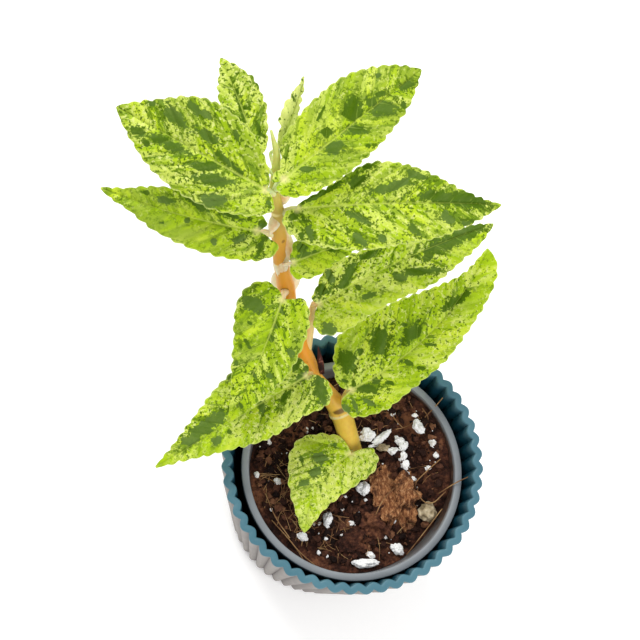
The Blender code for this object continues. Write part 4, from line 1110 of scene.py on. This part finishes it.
def leaf_material(name, seed, shift, calm, tip):
    """One leaf's tissue: how much more of each layer, and how plain it is, all over and at its tip."""
    made, tree, shader = start_material(name, 0.42, 1.42)
    shader.inputs["Specular IOR Level"].default_value = 0.16
    blade = add(tree, "UVMap", uv_map="blade")
    veins = add(tree, "UVMap", uv_map="veins")
    spot = (seed * 31, seed * 77, seed * 13)
    # both maps in millimetres; the second is squeezed, so that flecks are drawn out along the veins
    flat_mm = add(tree, "Mapping", {0: blade, "Location": spot, "Scale": (100, 100, 100)})
    vein_mm = add(tree, "Mapping", {0: veins, "Location": spot, "Scale": (100, 55, 100)})
    parts = {}
    for key in ("near_rib", "blotch", "grey", "plain", "tip"):
        parts[key] = add(tree, "Attribute", out="Fac", attribute_name=key)
    # plain patches of 11 mm, at the tip and where the leaf's list has one; there the flecks fade
    slow = add(tree, "TexNoise", {"Vector": flat_mm, "Scale": 0.09, "Detail": 1.0})
    busy = add(tree, "MapRange", {0: slow, 1: 0.40, 2: 0.55, 3: 1 - calm, 4: 1.0})
    end = add(tree, "MapRange", {0: parts["tip"], 1: 0.80, 2: 0.95, 3: 1.0, 4: 1 - tip})
    busy = add(tree, "Math", {0: busy, 1: end}, operation="MULTIPLY")
    patch = add(tree, "MapRange", {0: parts["plain"], 1: 0.0, 2: 0.6, 3: 1.0, 4: 0.3})
    busy = add(tree, "Math", {0: busy, 1: patch}, operation="MULTIPLY")
    halo = add(tree, "MapRange", {0: parts["blotch"], 1: -1.2, 2: 0.1, 4: 0.06})
    # the lime ground, yellower in places
    warm = add(tree, "TexNoise", {"Vector": vein_mm, "Scale": 0.22, "Detail": 2.0})
    ramp = [(0.36, "9cb81a"), (0.5, "acc720"), (0.64, "c3d53c")]
    ground = add(tree, "ValToRGB", {0: warm}, ramp)
    for kind, follows, size, detail, rough, start, soft, strength, colour in LEAF_LAYERS:
        where = vein_mm if follows else flat_mm
        grain = {"Vector": where, "Scale": 1 / size, "Detail": detail, "Roughness": rough}
        value = add(tree, "TexNoise", grain)
        if kind in ("green", "specks"):
            value = add(tree, "Math", {0: value, 1: halo}, operation="ADD")
        if kind == "drift":
            fading = {0: parts["near_rib"], 1: -0.14, 2: value}
            value = add(tree, "Math", fading, operation="MULTIPLY_ADD")
        low = start - shift[kind]
        amount = add(tree, "MapRange", {0: value, 1: low, 2: low + soft, 4: strength})
        if kind != "drift":
            amount = add(tree, "Math", {0: amount, 1: busy}, operation="MULTIPLY")
        ground = add(tree, "Mix", {0: amount, 6: ground, 7: colour}, out=2, data_type="RGBA")
    # the large blotches, with ragged edges, dark green or grey-green; the grey-green is partly their
    # own tone and partly painted sheen
    ragged = add(tree, "TexNoise", {"Vector": flat_mm, "Scale": 0.5, "Detail": 5.0, "Roughness": 0.68})
    ragged = add(tree, "Math", {0: ragged, 1: 3.0, 2: -1.5}, operation="MULTIPLY_ADD")
    island = add(tree, "Math", {0: parts["blotch"], 1: ragged}, operation="ADD")
    island = add(tree, "MapRange", {0: island, 1: 0.06, 2: 0.16, 4: 0.95})
    # painted sheen in part: greyness mixes grey-green 667f3a into the blotch's dark green
    grey_and_sheen = add(tree, "TexNoise", {"Vector": vein_mm, "Scale": 0.35, "Detail": 3.0})
    grey_and_sheen = add(tree, "Math", {0: grey_and_sheen, 1: 1.6, 2: parts["grey"]}, operation="MULTIPLY_ADD")
    grey_and_sheen = add(tree, "MapRange", {0: grey_and_sheen, 1: 0.75, 2: 1.75})
    dark = add(tree, "Mix", {0: grey_and_sheen, 6: "4d6c04", 7: "667f3a"}, out=2, data_type="RGBA")
    ground = add(tree, "Mix", {0: island, 6: ground, 7: dark}, out=2, data_type="RGBA")
    # pale veins and margin, and the cream spot over the stalk
    pale_parts = (
        ("midrib", 0.4, 0.9, 0.7, "d0dc74"), ("vein", 0.6, 1.0, 0.3, "c6d868"),
        ("rim", 0.955, 1.0, 0.5, "d6de90"), ("joint", 0.2, 0.9, 0.8, "e4dca0"),
    )
    for key, low, high, strength, colour in pale_parts:
        value = add(tree, "Attribute", out="Fac", attribute_name=key)
        amount = add(tree, "MapRange", {0: value, 1: low, 2: high, 4: strength})
        ground = add(tree, "Mix", {0: amount, 6: ground, 7: colour}, out=2, data_type="RGBA")
    # 0.5 mm cell relief
    relief = add(tree, "TexNoise", {"Vector": flat_mm, "Scale": 2.0, "Detail": 3.0})
    finish_surface(tree, shader, ground, relief, 0.2, 0.3)
    gloss = add(tree, "MapRange", {0: relief, 1: 0.3, 2: 0.7, 3: 0.36, 4: 0.52})
    tree.links.new(gloss, shader.inputs["Roughness"])
    return made


# The underside is paler and duller, with the side veins standing out.
underside, tree, shader = start_material("leaf_underside_tissue", 0.55, 1.42)
place = add(tree, "UVMap", uv_map="blade")
mottle = add(tree, "TexNoise", {"Vector": place, "Scale": 60.0, "Detail": 4.0})  # 1.7 mm mottling
tone = add(tree, "ValToRGB", {0: mottle}, [(0.42, "a8c06a"), (0.6, "cddc9a")])
vein = add(tree, "Attribute", out="Fac", attribute_name="vein")
vein = add(tree, "MapRange", {0: vein, 1: 0.4, 2: 1.0, 4: 0.5})
mixed = add(tree, "Mix", {0: vein, 6: tone, 7: "dde6b0"}, out=2, data_type="RGBA")
finish_surface(tree, shader, mixed)

# Stalk tissue: the stem's flesh, paler and greener towards the blade.
stalk_flesh, tree, shader = start_material("succulent_stalk_tissue", 0.36, 1.42)
place = add(tree, "TexCoord", out="Object")
height = add(tree, "SeparateXYZ", {0: place}, out=2)
rise = add(tree, "MapRange", {0: height, 1: 0.062, 2: 0.132})
tone = add(
    tree, "ValToRGB", {0: rise},
    [
        (0.0, "e2d282"), (0.2, "f0da8c"), (0.4, "e8c890"), (0.7, "f0dcbc"),
        (0.85, "e2dcae"), (1.0, "d4e0a0"),
    ],
)
finish_surface(tree, shader, tone)
let_light_in(shader, 0.25, (1.0, 0.5, 0.15), 1.0)

# name: seed, more drift, cream, green and specks than usual, calm and plain tip
LEAF_LOOKS = {
    "leaf_soil": (1, 0.0, 0.06, -0.01, -0.02, 0.3, 0.4),
    "leaf_low_left": (2, -0.05, 0.05, -0.01, 0.0, 0.5, 0.9),
    "leaf_front": (3, 0.05, -0.01, 0.01, 0.025, 0.5, 0.6),
    "leaf_low_right": (4, -0.08, 0.02, -0.03, -0.01, 0.6, 0.2),
    "leaf_mid_right": (5, -0.08, 0.06, -0.02, 0.01, 0.6, 0.0),
    "leaf_long_right": (6, 0.03, 0.02, 0.01, 0.015, 0.3, 0.0),
    "leaf_hidden_right": (7, 0.0, -0.02, 0.0, 0.02, 0.6, 0.2),
    "leaf_mid_left": (8, 0.12, -0.01, 0.02, 0.03, 0.6, 0.3),
    "leaf_top_left": (9, 0.05, 0.03, 0.01, 0.015, 0.3, 0.0),
    "leaf_top_right": (10, 0.06, 0.0, 0.01, 0.01, 0.4, 0.1),
    "leaf_young_left": (11, 0.14, 0.05, 0.01, 0.02, 0.1, 0.0),
    "leaf_folded": (12, 0.0, 0.22, -0.05, -0.03, 0.1, 0.0),
}
for name, *shape, stalk_foot, blotches in LEAVES:
    leaf, axes = make_leaf(name, *shape, blotches)
    seed, *more, calm, plain_tip = LEAF_LOOKS[name]
    shift = dict(zip(("drift", "cream", "green", "specks"), more))
    tissue = leaf_material("variegated_tissue_of_" + name, seed, shift, calm, plain_tip)
    leaf.data.materials.append(tissue)
    leaf.data.materials.append(underside)
    thicken(leaf, BLADE_THICKNESS, 1)
    bpy.ops.object.shade_smooth_by_angle(angle=math.radians(60))
    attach(leaf, "root")
    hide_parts(name)
    leaf_stalk = make_stalk(name, stalk_foot, axes)
    leaf_stalk.data.materials.append(stalk_flesh)
    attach(leaf_stalk, "root")

# Papery sheaths and the withered stipule
# At each joint a thin sheath, dried to tissue paper, still clings to the stem. The lowest one
# has withered to a dark brown tongue with a pinkish edge.

SHEATH_THICKNESS = 0.12
SHEATH_BOW, SHEATH_RIPPLE = 1.2, 0.22
SHEATH_FACING = Vector((-0.15, -0.45, 0.9))

# name, root, tip, half width
SHEATHS = (
    ("sheath_upper_left", (-29.6, 54.6, 120.2), (-31.2, 50.4, 116.0), 1.4),
    ("sheath_upper_right", (-27.4, 52.2, 114.6), (-24.0, 45.9, 107.8), 1.6),
    ("sheath_front", (-27.4, 48.4, 111.0), (-26.6, 42.4, 103.2), 2.0),
    ("sheath_flared", (-25.5, 44.8, 102.0), (-23.7, 40.1, 96.4), 3.7),
    ("sheath_top", (-29.9, 57.3, 121.6), (-26.4, 59.1, 124.5), 1.3),
)


def add_sheath(name, root, tip, half):
    """A pointed, curled scrap of tissue, from a grid."""
    start, end = Vector(root), Vector(tip)
    along = (end - start).normalized()
    out = (SHEATH_FACING - along * SHEATH_FACING.dot(along)).normalized()
    side = out.cross(along)
    bpy.ops.object.select_all(action="DESELECT")
    bpy.ops.mesh.primitive_grid_add(x_subdivisions=14, y_subdivisions=24, size=2)
    sheath = start_piece(name)
    margins = []
    for vert in sheath.data.vertices:
        across, share = vert.co.x, (vert.co.y + 1) / 2  # from -1 to 1 and, root to tip, 0 to 1
        narrow = (1 - share**2.5) ** 0.7 * (0.8 + 0.4 * math.sin(math.pi * share))
        width = half * max(narrow, 0.04)
        ripple = SHEATH_RIPPLE * noise.noise(Vector((across * 2, share * 5, half * 9)))
        spot = start.lerp(end, share) - side * across * width
        stand = SHEATH_BOW * math.sin(math.pi * share) + ripple * share
        spot += out * (stand - 0.5 * half * (across * narrow) ** 2)
        vert.co = spot * MM
        margins.append(max(abs(across), share**2))
    keep_values(sheath.data, "margin", margins)
    thicken(sheath, SHEATH_THICKNESS)
    bpy.ops.object.shade_smooth()
    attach(sheath, "root")
    return sheath


# Dried stipule tissue: thin, smooth and tan, bleached nearly white towards its edges.
dry_tissue, tree, shader = start_material("dried_stipule_tissue", 0.5, 1.4)
place = add(tree, "TexCoord", out="Object")
streaky = add(tree, "Mapping", {0: place, "Rotation": (0.9, 0.2, 0.0), "Scale": (1.0, 1.0, 0.1)})
lines = add(tree, "TexNoise", {"Vector": streaky, "Scale": 900.0, "Detail": 2.0})  # 1.1 mm veins
tone = add(tree, "ValToRGB", {0: lines}, [(0.35, "dcb48c"), (0.65, "ecd2b0")])
margin = add(tree, "Attribute", out="Fac", attribute_name="margin")
bleached = add(tree, "MapRange", {0: margin, 1: 0.35, 2: 0.95, 4: 0.9})
mixed = add(tree, "Mix", {0: bleached, 6: tone, 7: "f2e6d2"}, out=2, data_type="RGBA")
finish_surface(tree, shader, mixed)
let_light_in(shader, 0.3, (1.0, 0.6, 0.4), 0.8)
for name, root, tip, half in SHEATHS:
    sheath = add_sheath(name, root, tip, half)
    sheath.data.materials.append(dry_tissue)

# Withered tissue: dark red-brown and crisp, with a pinkish worn edge.
withered, tree, shader = start_material("withered_stipule_tissue", 0.7, 1.4)
place = add(tree, "TexCoord", out="Object")
spots = add(tree, "TexNoise", {"Vector": place, "Scale": 700.0, "Detail": 4.0})  # 1.4 mm blotches
tone = add(tree, "ValToRGB", {0: spots}, [(0.4, "2e120e"), (0.58, "5a2a20"), (0.72, "b07a66")])
finish_surface(tree, shader, tone)
dry_stipule = add_sheath("withered_stipule", (-11.3, 22.5, 80.4), (-13.4, 29.0, 86.2), 0.8)
dry_stipule.data.materials.append(withered)
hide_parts("dry_stipule")

# Floor, lights and camera
# A plain white studio: a pale floor, a wide soft key from the far left, a weaker fill from the
# near right and an even white surround. The camera looks down into the pot, as the photograph does.

bpy.ops.object.select_all(action="DESELECT")
bpy.ops.mesh.primitive_plane_add(size=8.0, location=(0, 0, -0.0002))
floor = start_piece("studio_floor")
bpy.ops.object.transform_apply(location=True, rotation=True, scale=True)
floor_white, tree, shader = start_material("matte_studio_paper", 0.9)
shader.inputs["Base Color"].default_value = (0.95, 0.95, 0.95, 1)
shader.inputs["Emission Color"].default_value = (1, 1, 1, 1)
shader.inputs["Emission Strength"].default_value = 0.15
floor.data.materials.append(floor_white)


def add_light(name, place, aim, size, power):
    """A square soft light that faces its aim; places and size are in metres, the power in watts."""
    data = bpy.data.lights.new(name, "AREA")
    data.size = size
    data.energy = power
    lamp = bpy.data.objects.new(name, data)
    bpy.context.scene.collection.objects.link(lamp)
    lamp.location = place
    lamp.rotation_euler = (Vector(aim) - Vector(place)).to_track_quat("-Z", "Y").to_euler()


add_light("soft_key", (-0.35, 0.75, 1.1), (0, 0.02, 0.08), 0.7, 8.0)
add_light("soft_fill", (0.55, -0.75, 0.8), (0, 0, 0.07), 0.9, 5.0)

world = bpy.data.worlds.new("studio_surround")
bpy.context.scene.world = world
world.use_nodes = True
world.node_tree.nodes["Background"].inputs[0].default_value = (1, 1, 1, 1)
world.node_tree.nodes["Background"].inputs[1].default_value = 0.55
bpy.context.scene.view_settings.view_transform = "Standard"
bpy.context.scene.view_settings.exposure = 0.35
bpy.context.scene.view_settings.gamma = 0.88

# Fitted to the two rims and the plant in the photograph
camera_data = bpy.data.cameras.new("overhead_camera")
camera_data.lens = 71.44
camera_data.clip_start = 0.01
camera_data.sensor_width = 36.0
camera = bpy.data.objects.new("overhead_camera", camera_data)
bpy.context.scene.collection.objects.link(camera)
camera.location = (-0.06394, -0.08275, 0.43047)
camera.rotation_euler = (math.radians(18.93), math.radians(-8.59), math.radians(0.49))
bpy.context.scene.camera = camera
